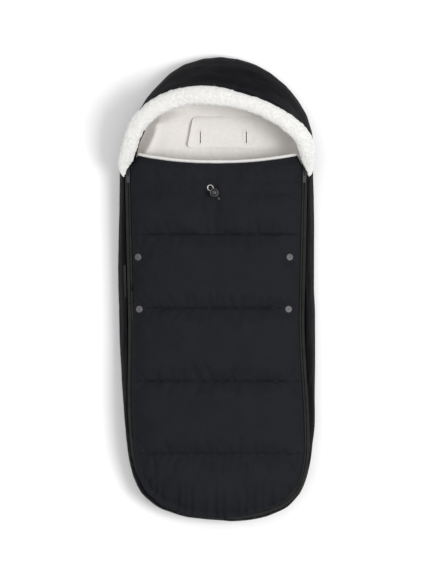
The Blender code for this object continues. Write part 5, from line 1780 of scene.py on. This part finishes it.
def make_plunger(passage, way):
    """The domed button, slotted from below for the cord that passes through it."""
    low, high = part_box("cord_lock_plunger")
    shoulder = high.z - low.z - BUTTON_DOME
    button = [*BUTTON_FOOT, (BUTTON_RADIUS, shoulder)]
    for step in range(1, DOME_STEPS):
        angle = math.radians(90) * step / DOME_STEPS
        radius = BUTTON_RADIUS * math.cos(angle) ** DOME_POWER
        button.append((radius, shoulder + BUTTON_DOME * math.sin(angle)))
    button.append((0.0, shoulder + BUTTON_DOME))
    foot = (passage.x, passage.y, low.z)
    plunger = turned_piece("cord_lock_plunger_turned", button, 56, "lock_plastic", foot)
    across = Vector((-way.y, way.x, 0))
    rings = []
    for step in (-CORD_SLOT_REACH, CORD_SLOT_REACH):
        rings.append([passage + way * step + across * a + Vector((0, 0, b)) for a, b in CORD_SLOT])
    cut_with(plunger, swept_piece("cord_slot", rings, "black_plastic"))
    dress(plunger, "lock_plunger", "black_plastic", ["cord_lock_plunger"])


def make_cord_lock():
    make_eyelet()
    low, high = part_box("cord_lock_barrel")
    centre = (low + high) / 2
    base = Vector((centre.x, centre.y, low.z))
    barrel = turned_piece("cord_lock_barrel_turned", BARREL, 64, "lock_plastic", base)
    way = Vector(CORD_DIRECTION)
    passage = Vector((base.x, base.y, CORD_START[2] + CORD_RISE + CORD_BEND))
    through = [passage + way * step for step in (-CORD_HOLE_REACH, CORD_HOLE_REACH)]
    cut_with(barrel, swept_piece("cord_hole", tube_rings(through, CORD_HOLE_RADIUS, 24), "black_plastic"))
    dress(barrel, "cord_lock", "black_plastic", ["cord_lock_barrel"])
    make_plunger(passage, way)
    low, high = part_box("cord_lock_spring")
    climb = high.z - low.z - 2 * SPRING_WIRE
    steps = SPRING_TURNS * TURN_STEPS
    route = []
    for step in range(steps + 1):
        angle = math.tau * step / TURN_STEPS
        across, along = SPRING_RADIUS * math.cos(angle), SPRING_RADIUS * math.sin(angle)
        route.append((base.x + across, base.y + along, low.z + SPRING_WIRE + climb * step / steps))
    spring = swept_piece("cord_lock_spring_wound", tube_rings(route, SPRING_WIRE, 8), "spring_steel")
    dress(spring, "cord_lock", "spring_steel", ["cord_lock_spring"])
    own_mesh(spring)


# Stitching


# Where the lines of stitches run: shares of the way to the hems, and distances in from the edges
FLAP_HEM = 0.9
FOOT_HEM = 0.955
SIDE_INSET = 0.0030
RIM_STITCH = 0.0060
STITCH_LIFT = 0.00012
DROP_HEIGHT = 0.4


def laid_on(item, route):
    """The route dropped onto a piece from above."""
    mesh = item.data
    tree = BVHTree.FromPolygons([v.co for v in mesh.vertices], [p.vertices for p in mesh.polygons])
    points = []
    for x, y in route:
        spot = tree.ray_cast(Vector((x, y, DROP_HEIGHT)), Vector((0, 0, -1)))[0]
        if spot is not None:
            points.append(spot + Vector((0, 0, STITCH_LIFT)))
    return points


def make_stitching():
    sizes = footmuff_sizes()
    tree = row_tree()
    grain = (sizes.stitch_length / 2, sizes.thread_radius, sizes.thread_radius)
    plan = CoverPlan()
    cover = bpy.data.objects["quilted_cover"]
    across = np.linspace(-0.975, 0.975, 90)

    def level(y):
        return [(s * plan.half(y) + plan.middle(y), y) for s in across]

    def side(sign, ys):
        return [(sign * (plan.half(y) - SIDE_INSET) + plan.middle(y), y) for y in ys]

    hem_y = CASING[1] + FLAP_HEM * (plan.corner_y - CASING[1])
    flap_hem = [plan.spot(s, hem_y, FLAP_HEM) for s in across]
    flap = [flap_hem, level(CASING[1]), level(CASING[0]), level(SEAMS[0])]
    flap += [side(sign, np.linspace(0.265, 0.046, 70)) for _, sign in SIDES]
    lower = [level(seam) for seam in SEAMS[1:]]
    lower += [side(sign, np.linspace(-0.018, -0.350, 100)) for _, sign in SIDES]
    hem_y = SEAMS[-1] + FOOT_HEM * (FOOT_CORNER_Y - SEAMS[-1])
    lower.append([plan.spot(s, hem_y, FOOT_HEM) for s in np.linspace(-0.97, 0.97, 160)])
    for name, body, routes in (("flap_stitching", "flap", flap), ("cover_stitching", "shell", lower)):
        routes = [laid_on(cover, route) for route in routes]
        item = path_piece(name, routes, tree, sizes.stitch_pitch, grain, "thread")
        dress(item, body, "cover_fabric")
    rim = []
    for side_name, _ in SIDES:
        stations, _, _ = strip_stations(f"zip_tape_shell_{side_name}")
        route = []
        for x, y, hx, hy in stations:
            size = math.hypot(hx, hy)
            route.append((x + hx / size * RIM_STITCH, y + hy / size * RIM_STITCH))
        for piece in ("gusset_left_padded", "gusset_right_padded", "gusset_foot_padded"):
            points = laid_on(bpy.data.objects[piece], route)
            if len(points) > 2:
                rim.append(points)
    item = path_piece("gusset_stitching", rim, tree, sizes.stitch_pitch, grain, "thread")
    dress(item, "shell", "shell_fabric")
    rows = []
    bindings = [(f"slot_binding_{place}", BINDING_INSET) for place in SLOTS]
    for node, inset in (("slot_panel", PANEL_INSET), *bindings):
        low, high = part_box(node)
        rows.append(rounded_route(low, high, inset, high.z + 0.0001))
    item = path_piece("slot_stitching", rows, tree, sizes.stitch_pitch * 0.8, grain, "fleece_thread")
    dress(item, "shell", "fleece")


def rounded_route(low, high, inset, height):
    """A closed route inside a box, with rounded corners."""
    cx, cy = (low.x + high.x) / 2, (low.y + high.y) / 2
    hx, hy = (high.x - low.x) / 2 - inset, (high.y - low.y) / 2 - inset
    corner = min(hx, hy) * 0.6
    points = []
    for turn, (sx, sy) in enumerate(((1, 1), (-1, 1), (-1, -1), (1, -1))):
        for step in range(6):
            angle = math.radians(90) * (turn + step / 5)
            points.append((
                cx + sx * (hx - corner) + corner * math.cos(angle),
                cy + sy * (hy - corner) + corner * math.sin(angle),
                height,
            ))
    return [*points, points[0]]


# Operators and panel


STEPS = []


def step(idname, label, note, build):
    """An operator for one piece or group of like pieces."""

    def execute(self, context):
        build()
        return {"FINISHED"}

    name = "FOOTMUFF_OT_" + idname
    made = type(name, (bpy.types.Operator,), {
        "__doc__": note, "bl_idname": "footmuff." + idname, "bl_label": label, "execute": execute,
    })
    STEPS.append(made)
    return made


step("materials", "Materials", "Mixes the finishes of the cloth, fleece and fasteners", make_materials)
step("stage", "Stage", "Sets the camera, the pale floor and the lights", make_stage)
step("cords", "Cords", "Lays the drawcord and its free end", make_cords)
step("cover", "Quilted Cover", "Pads and quilts the cover with its lining", make_cover)
step("walls", "Gussets", "Pads the side and foot gussets", make_walls)
step("hood", "Hood", "Pads the hood", make_hood)
step("linings", "Linings", "Gives the linings their pile", make_linings)
step("back", "Back", "Lays the back cloth, its pad and the slot bindings", make_back)
step("cuff", "Cuff", "Fills the cuff and the flap's edge roll and sets the tufts", make_cuff)
step("label", "Label", "Sews on the bare label", make_label)
step("zips", "Zips", "Weaves the tapes and winds the teeth", make_zips)
step("sliders", "Sliders", "Casts the sliders and their pull tabs", make_sliders)
step("studs", "Studs", "Turns the press studs and their inner caps", make_studs)
step("cord_lock", "Eyelet and Cord Lock", "Turns the eyelet and the cord lock", make_cord_lock)
step("stitching", "Stitching", "Sews the seams", make_stitching)


class FOOTMUFF_PT_build(bpy.types.Panel):
    """Lists the footmuff's steps, sizes and colours"""

    bl_idname = "FOOTMUFF_PT_build"
    bl_label = "Stroller Footmuff"
    bl_space_type = "VIEW_3D"
    bl_region_type = "UI"
    bl_category = "Footmuff"

    def draw(self, context):
        layout = self.layout
        for made in STEPS:
            layout.operator(made.bl_idname)
        for settings in (context.scene.footmuff_sizes, context.scene.footmuff_colours):
            box = layout.box()
            for label in settings.__annotations__:
                box.prop(settings, label)


CLASSES = (FootmuffSizes, FootmuffColours, *STEPS, FOOTMUFF_PT_build)


def register():
    for item in CLASSES:
        bpy.utils.register_class(item)
    bpy.types.Scene.footmuff_sizes = PointerProperty(type=FootmuffSizes)
    bpy.types.Scene.footmuff_colours = PointerProperty(type=FootmuffColours)


def unregister():
    del bpy.types.Scene.footmuff_colours
    del bpy.types.Scene.footmuff_sizes
    for item in reversed(CLASSES):
        bpy.utils.unregister_class(item)


def main():
    register()
    for made in STEPS:
        getattr(bpy.ops.footmuff, made.bl_idname.split(".")[1])()
    boxes = {"CAD box": CAD_BOX, "visual box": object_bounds()}
    {name: [list(corner) for corner in box] for name, box in boxes.items()}


if __name__ == "__main__":
    main()
